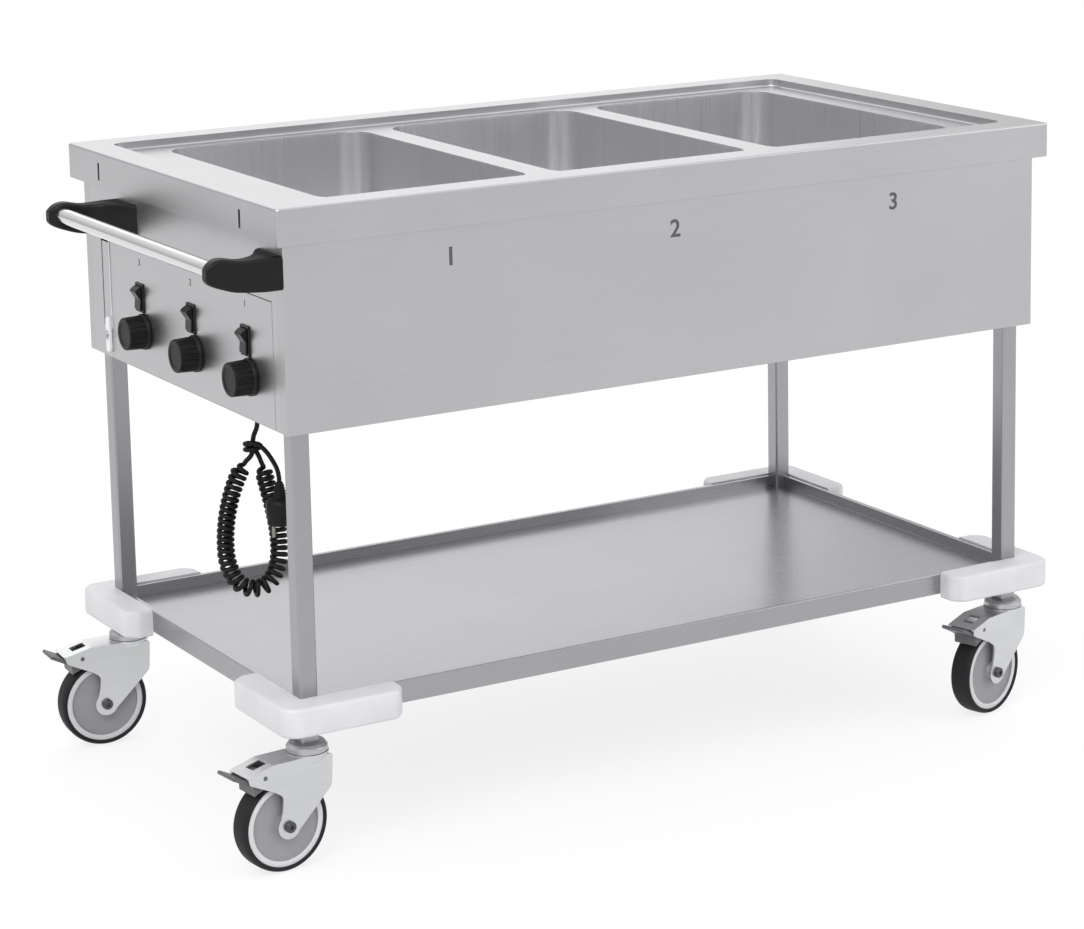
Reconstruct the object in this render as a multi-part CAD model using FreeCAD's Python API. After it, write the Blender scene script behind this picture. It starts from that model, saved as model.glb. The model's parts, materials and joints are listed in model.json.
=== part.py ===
"""Heated food trolley: three sunk wells in a steel body on a leg frame with a shelf and four castors.

All lengths are in millimetres and all angles in degrees. The trolley is drawn with x running from
the control end to the far end, y from the front to the back and z up from the floor. Its top rim
starts at x = 0 and y = 0. The finished pieces are moved so that the origin is on the floor, under
the middle of the box round the trolley.
"""
import FreeCAD, Part
import math
import os

V = FreeCAD.Vector
X_AXIS, Y_AXIS, Z_AXIS = V(1, 0, 0), V(0, 1, 0), V(0, 0, 1)

# ---- overall sizes -------------------------------------------------------------------------------
top_length = 1200.0
top_depth = 670.0
top_height = 860.0
sheet = 1.5

# ---- top: raised rim round a sunk deck with three wells ------------------------------------------
lip_drop = 48.0
rim_width = 45.0
deck_sink = 12.0
rim_corner_radius = 5.0
rim_edge_radius = 3.0
recess_corner_radius = 18.0
recess_floor_radius = 3.0
well_count = 3
well_divider = 40.0
well_corner_radius = 38.0
well_floor_radius = 25.0
well_depth = 200.0
well_left_margin = 115.0
well_right_margin = 90.0
well_front_margin = 94.0
well_back_margin = 66.0
tank_wall = 1.2
tank_flange = 12.0
lip_slot_width = 6.0
lip_slot_height = 24.0
lip_slot_inset = 108.0
lip_slot_below_top = 15.0

# ---- body under the top --------------------------------------------------------------------------
body_height = 287.0
body_left_inset = 8.0
body_right_inset = 25.0
body_front_inset = 3.0
body_back_inset = 32.0
panel_return = 20.0
panel_bend_radius = 3.0
bottom_flange = 15.0
pan_gap = 0.8
vent_slot_length = 90.0
vent_slot_width = 6.0
vent_slot_pitch = 18.0
vent_slot_count = 7

# ---- control cover in the control end ------------------------------------------------------------
cover_front_margin = 35.0
cover_back_margin = 81.0
cover_below_top = 122.0
cover_gap = 1.0
cover_fold = 12.0
grip_slot_length = 27.0
grip_slot_height = 3.5
control_count = 3
control_front_margin = 69.0
control_back_margin = 116.0
switch_below_cover_top = 63.0
switch_shift = 11.0
knob_switch_gap = 0.5
knob_skirt_radius = 24.5
knob_grip_radius = 23.0
knob_top_radius = 22.0
knob_skirt = 5.0
knob_depth = 30.0
knob_dish = 1.2
knob_panel_gap = 1.0
knob_flutes = 18
knob_flute_radius = 1.8
spindle_radius = 3.0
spindle_in_knob = 14.0
running_gap = 0.05
thermostat_width = 44.0
thermostat_depth = 32.0
thermostat_bush_radius = 5.0
thermostat_top_cut = 6.0
blade_thickness = 0.8
blade_width = 6.3
blade_reach = 8.0
panel_hole_gap = 0.5
switch_flange_width = 26.0
switch_flange_height = 40.0
switch_flange_depth = 2.5
switch_wall = 1.2
switch_depth = 20.0
rocker_width = 19.0
rocker_swing_radius = 17.2
rocker_gap = 0.4
rocker_pivot_depth = 2.0
rocker_dip = 5.0
rocker_horn = 10.5
rocker_back = 9.0
rocker_tilt = 14.0
rocker_pin_radius = 1.5
turn_button_length = 50.0
turn_button_width = 12.0
turn_button_depth = 5.0
turn_button_gap = 0.3
turn_button_above_bottom = 32.0
turn_button_setback = 6.5
turn_screw_radius = 2.5
turn_screw_head_radius = 5.5
turn_screw_head_depth = 3.0

# ---- leg frame and shelf -------------------------------------------------------------------------
tube_size = 25.0
tube_wall = 1.5
tube_corner_radius = 3.0
frame_end_margin = 18.5
frame_front_margin = 30.5
shelf_top = 220.0
shelf_fascia = 30.0
shelf_sink = 16.0
shelf_rim = 9.0
shelf_edge_radius = 2.0
stiffener_width = 60.0
stiffener_depth = 14.0
bumper_arm = 135.0
bumper_reach = 38.0
bumper_height = 39.0
bumper_above_shelf = 2.0
bumper_corner_radius = 42.0
bumper_end_step = 14.0
bumper_edge_radius = 5.0
bumper_wall = 5.0
bumper_rib = 3.0

# ---- push handle ---------------------------------------------------------------------------------
handle_reach = 84.0
handle_below_top = 71.5
handle_tube_radius = 10.5
handle_tube_wall = 1.5
handle_far_margin = 113.0
bracket_width = 23.0
bracket_foot_width = 72.0
bracket_nose = 17.5
bracket_hump = 16.5
bracket_rise = 12.5
bracket_drop = 31.0
bracket_chin = 20.0
bracket_corner = 5.0
bracket_socket_depth = 15.0

# ---- castors -------------------------------------------------------------------------------------
wheel_radius = 62.5
tyre_width = 32.0
rim_ring_radius = 55.0
rim_ring_inner = 46.0
rim_ring_width = 28.0
disc_width = 24.0
hub_radius = 13.0
hub_width = 39.6
axle_radius = 4.0
castor_trail = 43.0
castor_rest_turns = {"front_left": 6.0, "front_right": 16.0, "back_left": -4.0, "back_right": 8.0}
castor_height = 162.0
head_radius = 27.0
head_depth = 12.0
head_gap = 0.3
kingpin_radius = 6.0
crown_depth = 11.0
fork_gap = 40.0
fork_plate = 3.0
axle_boss_radius = 16.5
fork_back = 24.0
fork_waist_height = 104.0
fork_notch_height = 104.0
hood_knee = 64.0
hood_reach = 102.0
hood_tip_height = 139.0
hood_lip = 10.0
hood_sheet = 3.0
window_near = 66.0
window_far = 86.0
window_width = 18.0
bolt_head_radius = 7.5
bolt_head_depth = 5.0
bolt_key_radius = 3.0
stem_side_gap = 0.3
stem_length = 40.0
pedal_pivot_reach = 76.0
pedal_pivot_height = 134.0
pedal_bend_reach = 101.0
pedal_bend_height = 129.5
pedal_tip_reach = 122.0
pedal_tip_height = 140.0
pedal_pin_radius = 3.0
pedal_side_gap = 1.0
pedal_thickness = 5.0
pedal_press = 12.0
brake_gap = 0.5

# ---- mains lead: tail, curls, plug end -----------------------------------------------------------
cord_radius = 3.2
cord_exit_x = 66.0
cord_exit_y = 219.0
cord_plane_turn = 30.0
gland_hole_radius = 8.0
gland_nut_radius = 13.0
gland_nut_depth = 4.0
gland_body_depth = 9.0
gland_relief_length = 23.0
curl_radius = 9.0
curl_turn_gap = 0.9
curl_ramp = 22.0
curl_ramp_stretch = 2.4
curl_step = 0.5
curl_check_step = 1.5
wrap_along = -7.0
wrap_corner_radius = 8.3
wrap_below_exit = 40.5
wrap_pitch = 7.5
plug_radius = 19.0
plug_face_radius = 17.5
plug_body_length = 36.0
plug_neck_length = 20.0
plug_pin_radius = 2.4
plug_pin_length = 19.0
plug_pin_spacing = 19.0

# ---- values worked out from the sizes above ------------------------------------------------------
body_left = body_left_inset
body_right = top_length - body_right_inset
body_front = body_front_inset
body_back = top_depth - body_back_inset
body_bottom = top_height - body_height
deck_top = top_height - deck_sink
deck_under = deck_top - sheet
frame_left = body_left + frame_end_margin
frame_right = body_right - sheet
frame_front = body_front + frame_front_margin
frame_back = body_back - sheet
pan_under = body_bottom + sheet
pan_top = pan_under + sheet
well_front = well_front_margin
well_length = top_depth - well_front_margin - well_back_margin
well_row = top_length - well_left_margin - well_right_margin
well_width = (well_row - well_divider * (well_count - 1)) / well_count
cover_front = body_front + cover_front_margin
cover_back = body_back - cover_back_margin
cover_top = top_height - cover_below_top
control_first = cover_front + control_front_margin
control_pitch = (cover_back - control_back_margin - control_first) / (control_count - 1)
control_places = [control_first + i * control_pitch for i in range(control_count)]
switch_height = cover_top - switch_below_cover_top
knob_height = switch_height - switch_flange_height / 2 - knob_switch_gap - knob_skirt_radius
handle_x = body_left - handle_reach
handle_height = top_height - handle_below_top
handle_near_face = body_front
handle_far_face = body_back - handle_far_margin
turn_button_y = cover_back + turn_button_setback
relief_end = pan_under - gland_body_depth - gland_relief_length
turn_button_height = body_bottom + turn_button_above_bottom
leg_bottom = castor_height
castor_inset = tube_size / 2.0
bumper_top = shelf_top + bumper_above_shelf
bumper_bottom = bumper_top - bumper_height

left_most = handle_x - bracket_nose
right_most = max(top_length, frame_right + bumper_reach)
front_most = min(0.0, frame_front - bumper_reach)
back_most = max(top_depth, frame_back + bumper_reach)
to_origin = V(-(left_most + right_most) / 2.0, -(front_most + back_most) / 2.0, 0)


# ---- drawing helpers -----------------------------------------------------------------------------
def block(x0, x1, y0, y1, z0, z1):
    """A rectangular solid between two corners."""
    return Part.makeBox(x1 - x0, y1 - y0, z1 - z0, V(x0, y0, z0))


def rod(radius, start, direction, length):
    """A round bar from a start point."""
    return Part.makeCylinder(radius, length, start, direction)


def edges_along(shape, axis):
    """The straight edges of a shape that run along one axis."""
    found = []
    for edge in shape.Edges:
        along = isinstance(edge.Curve, Part.Line) and abs(edge.tangentAt(edge.FirstParameter) * axis)
        if along and abs(along - 1) < 1e-6:
            found.append(edge)
    return found


def edges_at_height(shape, z):
    """The edges of a shape that lie wholly at one height."""
    return [e for e in shape.Edges if abs(e.BoundBox.ZMin - z) < 1e-4 and abs(e.BoundBox.ZMax - z) < 1e-4]


def soft_block(x0, x1, y0, y1, z0, z1, corner):
    """A block whose upright edges are rounded."""
    shape = block(x0, x1, y0, y1, z0, z1)
    return shape.makeFillet(corner, edges_along(shape, Z_AXIS))


def outline(points, place):
    """A closed wire through (a, b) or (a, b, radius) points; place turns (a, b) into a point in space."""
    flat = [(V(p[0], p[1], 0), p[2] if len(p) > 2 else 0.0) for p in points]
    edges = []
    count = len(flat)
    ends = []
    for i, (corner, radius) in enumerate(flat):
        if radius <= 0:
            ends.append((corner, corner, None))
            continue
        back = (flat[i - 1][0] - corner).normalize()
        ahead = (flat[(i + 1) % count][0] - corner).normalize()
        half = back.getAngle(ahead) / 2.0
        run = radius / math.tan(half)
        middle_way = (back + ahead).normalize()
        middle = corner + middle_way * (radius / math.sin(half) - radius)
        ends.append((corner + back * run, corner + ahead * run, middle))
    for i, (start, end, middle) in enumerate(ends):
        if middle is not None:
            through = [place(point.x, point.y) for point in (start, middle, end)]
            edges.append(Part.Arc(*through).toShape())
        following = ends[(i + 1) % count][0]
        if end.distanceToPoint(following) > 1e-6:
            edges.append(Part.LineSegment(place(end.x, end.y), place(following.x, following.y)).toShape())
    return Part.Wire(edges)


def plate(points, place, thickness):
    """A flat piece with the outline given, thickened along a vector."""
    return Part.Face(outline(points, place)).extrude(thickness)


def turned(points, centre, axis, away):
    """A turned piece: points are (radius, height) pairs round an axis through centre."""
    ring = outline(points, lambda r, h: centre + away * r + axis * h)
    return Part.Face(ring).revolve(centre, axis, 360)


def square_tube(x, y, z0, z1):
    """An upright square tube with its low x, low y corner given."""
    outer = soft_block(x, x + tube_size, y, y + tube_size, z0, z1, tube_corner_radius)
    w = tube_wall
    inner = soft_block(x + w, x + tube_size - w, y + w, y + tube_size - w, z0 - 1, z1 + 1,
                       tube_corner_radius - w)
    return outer.cut(inner)


def mirrored(shape, along_x, along_y):
    """A copy mirrored about the middle of the leg frame."""
    middle = V((frame_left + frame_right) / 2.0, (frame_front + frame_back) / 2.0, 0)
    if along_x:
        shape = shape.mirror(middle, X_AXIS)
    if along_y:
        shape = shape.mirror(middle, Y_AXIS)
    return shape


def save(name, shape):
    """Moves a finished piece to the origin and writes it."""
    shape = shape.copy()
    shape.translate(to_origin)
    if not shape.isValid():
        raise ValueError(name + " is not a valid solid")
    print("%-20s solids %d volume %.0f" % (name, len(shape.Solids), shape.Volume))
    shape.exportStep("parts/" + name + ".step")


# ---- top -----------------------------------------------------------------------------------------
def well_span(i):
    """The low and high x of one well's opening."""
    start = well_left_margin + i * (well_width + well_divider)
    return start, start + well_width


def dished_block(grow, top, corner, edge, sink_corner, sink_edge):
    """The top's outer form, shrunk by grow on the outside, with the sunk deck taken out of it."""
    low = top_height - lip_drop - grow
    outer = soft_block(grow, top_length - grow, grow, top_depth - grow, low, top, corner)
    outer = outer.makeFillet(edge, edges_at_height(outer, top))
    side = rim_width - grow
    floor = deck_top - grow
    sink = soft_block(side, top_length - side, side, top_depth - side, floor, top + 1, sink_corner)
    sink = sink.makeFillet(sink_edge, edges_at_height(sink, floor))
    return outer.cut(sink)


def top_deck():
    outside = dished_block(0, top_height, rim_corner_radius, rim_edge_radius, recess_corner_radius,
                           recess_floor_radius)
    inside = dished_block(sheet, top_height - sheet, rim_corner_radius - sheet, rim_edge_radius - sheet,
                          recess_corner_radius + sheet, recess_floor_radius + sheet)
    deck = outside.cut(inside)
    for i in range(well_count):
        x0, x1 = well_span(i)
        deck = deck.cut(soft_block(x0, x1, well_front, well_front + well_length, deck_under - 1, deck_top + 1,
                                   well_corner_radius))
    slot_top = top_height - lip_slot_below_top
    for y in (lip_slot_inset, top_depth - lip_slot_inset):
        for x in (0, top_length - sheet):
            deck = deck.cut(block(x - 1, x + sheet + 1, y - lip_slot_width / 2, y + lip_slot_width / 2,
                                  slot_top - lip_slot_height, slot_top))
    return deck


def well_tank(i):
    x0, x1 = well_span(i)
    y0, y1 = well_front, well_front + well_length
    floor = deck_under - well_depth

    def pressed(grow, bottom):
        body = soft_block(x0 - grow, x1 + grow, y0 - grow, y1 + grow, bottom, deck_under,
                          well_corner_radius + grow)
        return body.makeFillet(well_floor_radius + grow, edges_at_height(body, bottom))

    f = tank_flange
    flange = soft_block(x0 - f, x1 + f, y0 - f, y1 + f, deck_under - tank_wall, deck_under,
                        well_corner_radius + f)
    tank = pressed(tank_wall, floor - tank_wall).fuse(flange).removeSplitter()
    return tank.cut(pressed(0, floor))


def well_heater(i):
    """A round heating element bent to and fro under a well's floor."""
    x0, x1 = well_span(i)
    element_radius = 4.0
    z = deck_under - well_depth - tank_wall - element_radius - 0.3
    run_pitch, run_count, margin = 60.0, 4, 60.0
    first = (x0 + x1) / 2 - run_pitch * (run_count - 1) / 2
    low, high = well_front + margin, well_front + well_length - margin
    edges = []
    for k in range(run_count):
        x = first + k * run_pitch
        start, end = (low, high) if k % 2 == 0 else (high, low)
        edges.append(Part.LineSegment(V(x, start, z), V(x, end, z)).toShape())
        if k < run_count - 1:
            bulge = V(x + run_pitch / 2, end + math.copysign(run_pitch / 2, end - start), z)
            edges.append(Part.Arc(V(x, end, z), bulge, V(x + run_pitch, end, z)).toShape())
    return sweep(edges, element_radius)


# ---- legs ----------------------------------------------------------------------------------------
def leg_corners():
    """The low x, low y corner of each leg, with the words for its place."""
    xs = (("left", frame_left), ("right", frame_right - tube_size))
    ys = (("front", frame_front), ("back", frame_back - tube_size))
    return [(fore + "_" + side, x, y) for fore, y in ys for side, x in xs]


def without_legs(shape):
    """Notches a sheet where the legs pass through it."""
    z0, z1 = shape.BoundBox.ZMin - 1, shape.BoundBox.ZMax + 1
    return shape.cut([block(x, x + tube_size, y, y + tube_size, z0, z1) for _, x, y in leg_corners()])


# ---- body panels ---------------------------------------------------------------------------------
panel_top = top_height - sheet


def wrap_panel(face_y, inward):
    """The front or back panel with its bent ends and its bottom flange; inward is +1 or -1 along y."""
    deep = face_y + inward * panel_return
    skin = face_y + inward * sheet
    r = panel_bend_radius
    points = [(body_left, deep), (body_left, face_y, r), (body_right, face_y, r), (body_right, deep),
              (body_right - sheet, deep), (body_right - sheet, skin, r - sheet),
              (body_left + sheet, skin, r - sheet), (body_left + sheet, deep)]
    panel = plate(points, lambda x, y: V(x, y, body_bottom), V(0, 0, panel_top - body_bottom))
    edge = sorted((skin, skin + inward * bottom_flange))
    flange = block(body_left + sheet, body_right - sheet, edge[0], edge[1], body_bottom, pan_under)
    return panel.fuse(without_legs(flange)).removeSplitter()


def end_panel(face_x, inward):
    """One end panel between the returns of the front and back panels."""
    y0, y1 = body_front + panel_return, body_back - panel_return
    xs = sorted((face_x, face_x + inward * sheet))
    panel = block(xs[0], xs[1], y0, y1, body_bottom, panel_top)
    fx = sorted((face_x + inward * sheet, face_x + inward * (sheet + bottom_flange)))
    flange = block(fx[0], fx[1], y0, y1, body_bottom, pan_under)
    return panel.fuse(without_legs(flange)).removeSplitter()


def left_end_panel():
    panel = end_panel(body_left, 1)
    panel = panel.cut(block(body_left - 1, body_left + sheet, cover_front, cover_back, pan_under, cover_top))
    fold_back = body_left + sheet + cover_fold
    for y in (cover_front - sheet, cover_back):
        panel = panel.fuse(block(body_left + sheet, fold_back, y, y + sheet, pan_top, cover_top + sheet))
    top_fold = block(body_left + sheet, fold_back, cover_front, cover_back, cover_top, cover_top + sheet)
    panel = panel.fuse(top_fold)
    grip = block(body_left - 1, body_left + sheet + 1, cover_back + sheet, cover_back + grip_slot_length,
                 cover_top - grip_slot_height, cover_top)
    screw_place = V(body_left - 1, turn_button_y, turn_button_height)
    screw_hole = rod(turn_screw_radius + running_gap, screw_place, X_AXIS, sheet + 2)
    return panel.cut([grip, screw_hole]).removeSplitter()


def control_cover():
    """The cover that carries the knobs and switches; it stands on the end panel's bottom flange."""
    y0, y1 = cover_front + cover_gap, cover_back - cover_gap
    z0, z1 = pan_under, cover_top - cover_gap
    cover = block(body_left, body_left + sheet, y0, y1, z0, z1)
    fold = body_left + cover_fold
    for y in (y0, y1 - sheet):
        cover = cover.fuse(block(body_left, fold, y, y + sheet, pan_top + cover_gap, z1))
    cover = cover.fuse(block(body_left, fold, y0, y1, z1 - sheet, z1))
    outside, inside = body_left - 1, body_left + sheet + 1
    w = rocker_width / 2 + rocker_gap + switch_wall + panel_hole_gap
    h = rocker_swing_radius + rocker_gap + switch_wall + panel_hole_gap
    for y in control_places:
        bush = rod(thermostat_bush_radius + panel_hole_gap, V(outside, y, knob_height), X_AXIS, sheet + 2)
        middle = y + switch_shift
        window = block(outside, inside, middle - w, middle + w, switch_height - h, switch_height + h)
        cover = cover.cut([bush, window])
    return cover.removeSplitter()


def bottom_pan():
    edge = sheet + pan_gap
    pan = block(body_left + edge, body_right - edge, body_front + edge, body_back - edge, pan_under, pan_top)
    pan = without_legs(pan)
    long, wide = vent_slot_length / 2, vent_slot_width / 2
    for i in range(well_count):
        x = sum(well_span(i)) / 2
        for k in range(vent_slot_count):
            y = top_depth / 2 + (k - (vent_slot_count - 1) / 2) * vent_slot_pitch
            pan = pan.cut(block(x - long, x + long, y - wide, y + wide, pan_under - 1, pan_top + 1))
    hole = rod(gland_hole_radius, V(cord_exit_x, cord_exit_y, pan_under - 1), Z_AXIS, sheet + 2)
    return pan.cut(hole)


def body_rails():
    """Four tubes that join the legs inside the body and carry the bottom pan."""
    t = tube_size
    w = tube_wall
    z0, z1 = pan_top, pan_top + t
    rails = []
    for y in (frame_front, frame_back - t):
        outer = block(frame_left + t, frame_right - t, y, y + t, z0, z1)
        rails.append(outer.cut(block(frame_left, frame_right, y + w, y + t - w, z0 + w, z1 - w)))
    for x in (frame_left, frame_right - t):
        outer = block(x, x + t, frame_front + t, frame_back - t, z0, z1)
        rails.append(outer.cut(block(x + w, x + t - w, frame_front, frame_back, z0 + w, z1 - w)))
    return Part.makeCompound(rails)


# ---- controls ------------------------------------------------------------------------------------
def knob(y):
    """A fluted control knob with its skirt; it turns about the x direction."""
    back = body_left - knob_panel_gap
    centre = V(back, y, knob_height)
    out = V(-1, 0, 0)
    recess = thermostat_bush_radius + 4
    points = [(0, 2.0), (recess, 2.0), (recess, 0), (knob_skirt_radius, 0),
              (knob_skirt_radius, knob_skirt - 2, 1.5), (knob_grip_radius, knob_skirt),
              (knob_top_radius, knob_depth, 2.0), (knob_top_radius - 5, knob_depth),
              (knob_top_radius - 7, knob_depth - knob_dish), (0, knob_depth - knob_dish)]
    body = turned(points, centre, out, Y_AXIS)
    for k in range(knob_flutes):
        angle = 2 * math.pi * (k + 0.5) / knob_flutes
        side = V(0, math.cos(angle), math.sin(angle)) * (knob_grip_radius + 0.4)
        body = body.cut(rod(knob_flute_radius, centre + side + out * (knob_skirt + 1), out, knob_depth))
    bore = rod(spindle_radius, centre + out * 1.0, out, spindle_in_knob)
    return body.cut(bore)


def spindle(y):
    """The thermostat's spindle, from inside the knob to inside the thermostat."""
    tip = body_left - knob_panel_gap - 1.0 - spindle_in_knob
    tail = body_left + sheet + thermostat_depth / 2
    return rod(spindle_radius, V(tip, y, knob_height), X_AXIS, tail - tip)


def blade(x, y, z):
    """One flat connector blade standing out of the back of a switch or thermostat."""
    w, t = blade_width / 2, blade_thickness / 2
    return block(x, x + blade_reach, y - w, y + w, z - t, z + t)


def thermostat(y):
    """A thermostat behind the cover, with the bush that its spindle turns in."""
    back = body_left + sheet
    half = thermostat_width / 2
    body = block(back, back + thermostat_depth, y - half, y + half, knob_height - half,
                 knob_height + half - thermostat_top_cut)
    bush = rod(thermostat_bush_radius, V(body_left, y, knob_height), X_AXIS, sheet)
    blades = [blade(back + thermostat_depth, y, knob_height + side * half / 2) for side in (-1, 1)]
    body = body.fuse([bush] + blades).removeSplitter()
    return body.cut(rod(spindle_radius + running_gap, V(body_left - 1, y, knob_height), X_AXIS,
                        1 + sheet + thermostat_depth / 2 + 0.3))


def switch_frame(y):
    """The housing of one rocker switch: flange, box behind the cover and three blades."""
    w = rocker_width / 2 + rocker_gap
    h = rocker_swing_radius + rocker_gap
    fw, fh = switch_flange_width / 2, switch_flange_height / 2
    front = body_left - switch_flange_depth
    back = body_left + sheet + switch_depth
    flange = block(front, body_left, y - fw, y + fw, switch_height - fh, switch_height + fh)
    flange = flange.makeFillet(2.0, edges_along(flange, X_AXIS))
    flange = flange.makeChamfer(1.0, [e for e in flange.Edges if abs(e.BoundBox.XMax - front) < 1e-4])
    s = switch_wall
    box = block(body_left, back, y - w - s, y + w + s, switch_height - h - s, switch_height + h + s)
    frame = flange.fuse(box).removeSplitter()
    frame = frame.cut(block(front - 1, back - s, y - w, y + w, switch_height - h, switch_height + h))
    frame = frame.fuse([blade(back, y, switch_height + side * h / 2) for side in (-1, 0, 1)])
    pivot = V(body_left + rocker_pivot_depth, y - w - s - 1, switch_height)
    return frame.cut(rod(rocker_pin_radius + running_gap, pivot, Y_AXIS, 2 * (w + s) + 2))


def rocker(y):
    """One rocker, tipped with its upper end out; it swings on pins at its sides."""
    half, radius = rocker_width / 2, rocker_swing_radius
    px = body_left + rocker_pivot_depth
    dip, horn = rocker_pivot_depth + rocker_dip, rocker_pivot_depth + rocker_horn
    shoulder, back = -rocker_back / 2, -rocker_back
    face = [(dip, 0), (horn, radius), (shoulder, radius), (back, radius / 2), (back, -radius / 2),
            (shoulder, -radius), (horn, -radius)]
    body = plate(face, lambda out, z: V(px - out, y - half, switch_height + z), V(0, rocker_width, 0))
    body = body.common(rod(rocker_swing_radius, V(px, y - half, switch_height), Y_AXIS, rocker_width))
    pins = rod(rocker_pin_radius, V(px, y - half - rocker_gap - switch_wall, switch_height), Y_AXIS,
               rocker_width + 2 * (rocker_gap + switch_wall))
    body = body.fuse(pins).removeSplitter()
    body.rotate(V(px, y, switch_height), Y_AXIS, -rocker_tilt)
    return body


def turn_button():
    """The catch that turns over the cover's edge; it stands upright at rest."""
    tall, wide = turn_button_length / 2, turn_button_width / 2
    front = body_left - turn_button_depth
    middle = V(front, turn_button_y, turn_button_height)
    end_radius = wide - 0.1
    points = [(-wide, -tall, end_radius), (wide, -tall, end_radius), (wide, tall, end_radius),
              (-wide, tall, end_radius)]
    bar = plate(points, lambda y, z: middle + V(0, y, z), V(turn_button_depth - turn_button_gap, 0, 0))
    bar = bar.makeFillet(1.5, [e for e in bar.Edges if abs(e.BoundBox.XMax - front) < 1e-4])
    return bar.cut(rod(turn_screw_radius + running_gap, middle - X_AXIS, X_AXIS, turn_button_depth + 2))


def turn_button_screw():
    """The shouldered screw that the catch turns on, with its nut behind the end panel."""
    front = body_left - turn_button_depth
    start = V(front - 0.2, turn_button_y, turn_button_height)
    head = rod(turn_screw_head_radius, start - X_AXIS * turn_screw_head_depth, X_AXIS, turn_screw_head_depth)
    head = head.makeFillet(1.0, [e for e in head.Edges if abs(e.BoundBox.XMax - head.BoundBox.XMin) < 1e-4])
    shank = rod(turn_screw_radius, start, X_AXIS, turn_button_depth + sheet + 5)
    nut = rod(turn_screw_radius * 1.7, V(body_left + sheet, turn_button_y, turn_button_height), X_AXIS, 4)
    return head.fuse([shank, nut]).removeSplitter()


# ---- push handle ---------------------------------------------------------------------------------
def bracket_section(outer_y, inward, out, width, low, high, corner):
    """A rounded upright section of the bracket; low and high are counted from the tube's middle."""
    y0, y1 = outer_y, outer_y + inward * width
    z0, z1 = handle_height - low, handle_height + high
    points = [(y0, z0, corner), (y1, z0, corner), (y1, z1, corner), (y0, z1, corner)]
    return outline(points, lambda y, z: V(body_left - out, y, z))


def handle_bracket(outer_y, inward):
    """One moulded handle bracket: a flared foot, an arm and a blunt nose round the tube."""
    foot, arm, nose = bracket_foot_width, bracket_width, bracket_nose
    drop, rise, hump, chin = bracket_drop, bracket_rise, bracket_hump, bracket_chin
    reach = handle_reach
    sections = [(0, foot, drop, rise), (6, foot - 5, drop, rise), (18, (foot + arm) / 2, drop, rise),
                (34, arm + 7, drop - 1, rise - 0.5), (54, arm + 1, drop - 3, rise - 0.5),
                (reach - 10, arm - 1, chin + 3.5, hump - 0.5), (reach, arm - 2, chin, hump),
                (reach + nose * 0.65, arm - 5, chin - 5, hump - 4.5)]
    wires = [bracket_section(outer_y, inward, *section, bracket_corner) for section in sections]
    wires.append(bracket_section(outer_y + inward * 2, inward, reach + nose, arm - 12, nose / 2, nose / 3,
                                 bracket_corner / 2))
    body = Part.makeLoft(wires, True)
    mouth = V(handle_x, outer_y + inward * (arm + 1), handle_height)
    return body.cut(rod(handle_tube_radius, mouth, V(0, -inward, 0), bracket_socket_depth + 1))


def handle_tube():
    start = handle_near_face + bracket_width - bracket_socket_depth
    end = handle_far_face - bracket_width + bracket_socket_depth
    outer = rod(handle_tube_radius, V(handle_x, start, handle_height), Y_AXIS, end - start)
    return outer.cut(rod(handle_tube_radius - handle_tube_wall, V(handle_x, start - 1, handle_height), Y_AXIS,
                         end - start + 2))


# ---- shelf and bumpers ---------------------------------------------------------------------------
def shelf_tray():
    x0, x1, y0, y1 = frame_left, frame_right, frame_front, frame_back
    bottom = shelf_top - shelf_fascia

    def dished(grow, top):
        body = block(x0 + grow, x1 - grow, y0 + grow, y1 - grow, bottom - grow, top)
        body = body.makeFillet(shelf_edge_radius - grow * 0.9, edges_at_height(body, top))
        r = shelf_rim - grow
        floor = shelf_top - shelf_sink - grow
        return body.cut(block(x0 + r, x1 - r, y0 + r, y1 - r, floor, top + 1))

    return without_legs(dished(0, shelf_top).cut(dished(sheet, shelf_top - sheet)))


def shelf_stiffeners():
    """Two folded channels across the underside of the shelf."""
    top = shelf_top - shelf_sink - sheet
    channels = []
    for share in (1 / 3.0, 2 / 3.0):
        x = frame_left + share * (frame_right - frame_left) - stiffener_width / 2
        y0, y1 = frame_front + sheet, frame_back - sheet
        outer = block(x, x + stiffener_width, y0, y1, top - stiffener_depth + sheet, top)
        inner = block(x + sheet, x + stiffener_width - sheet, y0 - 1, y1 + 1,
                      top - stiffener_depth + 2 * sheet, top + 1)
        channels.append(outer.cut(inner))
    return Part.makeCompound(channels)


def corner_bumper(place):
    """A moulded corner buffer, open below with ribs inside; drawn at the front left corner."""
    arm, reach = bumper_arm, bumper_reach
    cx, cy = frame_left, frame_front

    def plan(grow, low, high):
        a, r, c = arm - grow, reach - grow, bumper_corner_radius - grow
        step = bumper_end_step
        points = [(-grow, -grow), (a, -grow), (a, -r * 0.55, 4), (a - step, -r, 8), (-r, -r, c),
                  (-r, a - step, 8), (-r * 0.55, a, 4), (-grow, a)]
        return plate(points, lambda x, y: V(cx + x, cy + y, low), V(0, 0, high - low))

    body = plan(0, bumper_bottom, bumper_top)
    outer_edges = [e for e in edges_at_height(body, bumper_top) + edges_at_height(body, bumper_bottom)
                   if e.BoundBox.XMin < cx - 0.6 * reach or e.BoundBox.YMin < cy - 0.6 * reach]
    body = body.makeFillet(bumper_edge_radius, outer_edges)
    hollow = plan(bumper_wall, bumper_bottom - 1, bumper_top - bumper_wall)
    for share in (0.3, 0.65):
        at, low = arm * share, bumper_bottom - 2
        hollow = hollow.cut(block(cx + at, cx + at + bumper_rib, cy - reach, cy, low, bumper_top))
        hollow = hollow.cut(block(cx - reach, cx, cy + at, cy + at + bumper_rib, low, bumper_top))
    body = body.cut(hollow)
    return mirrored(body, "right" in place, "back" in place)


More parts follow.
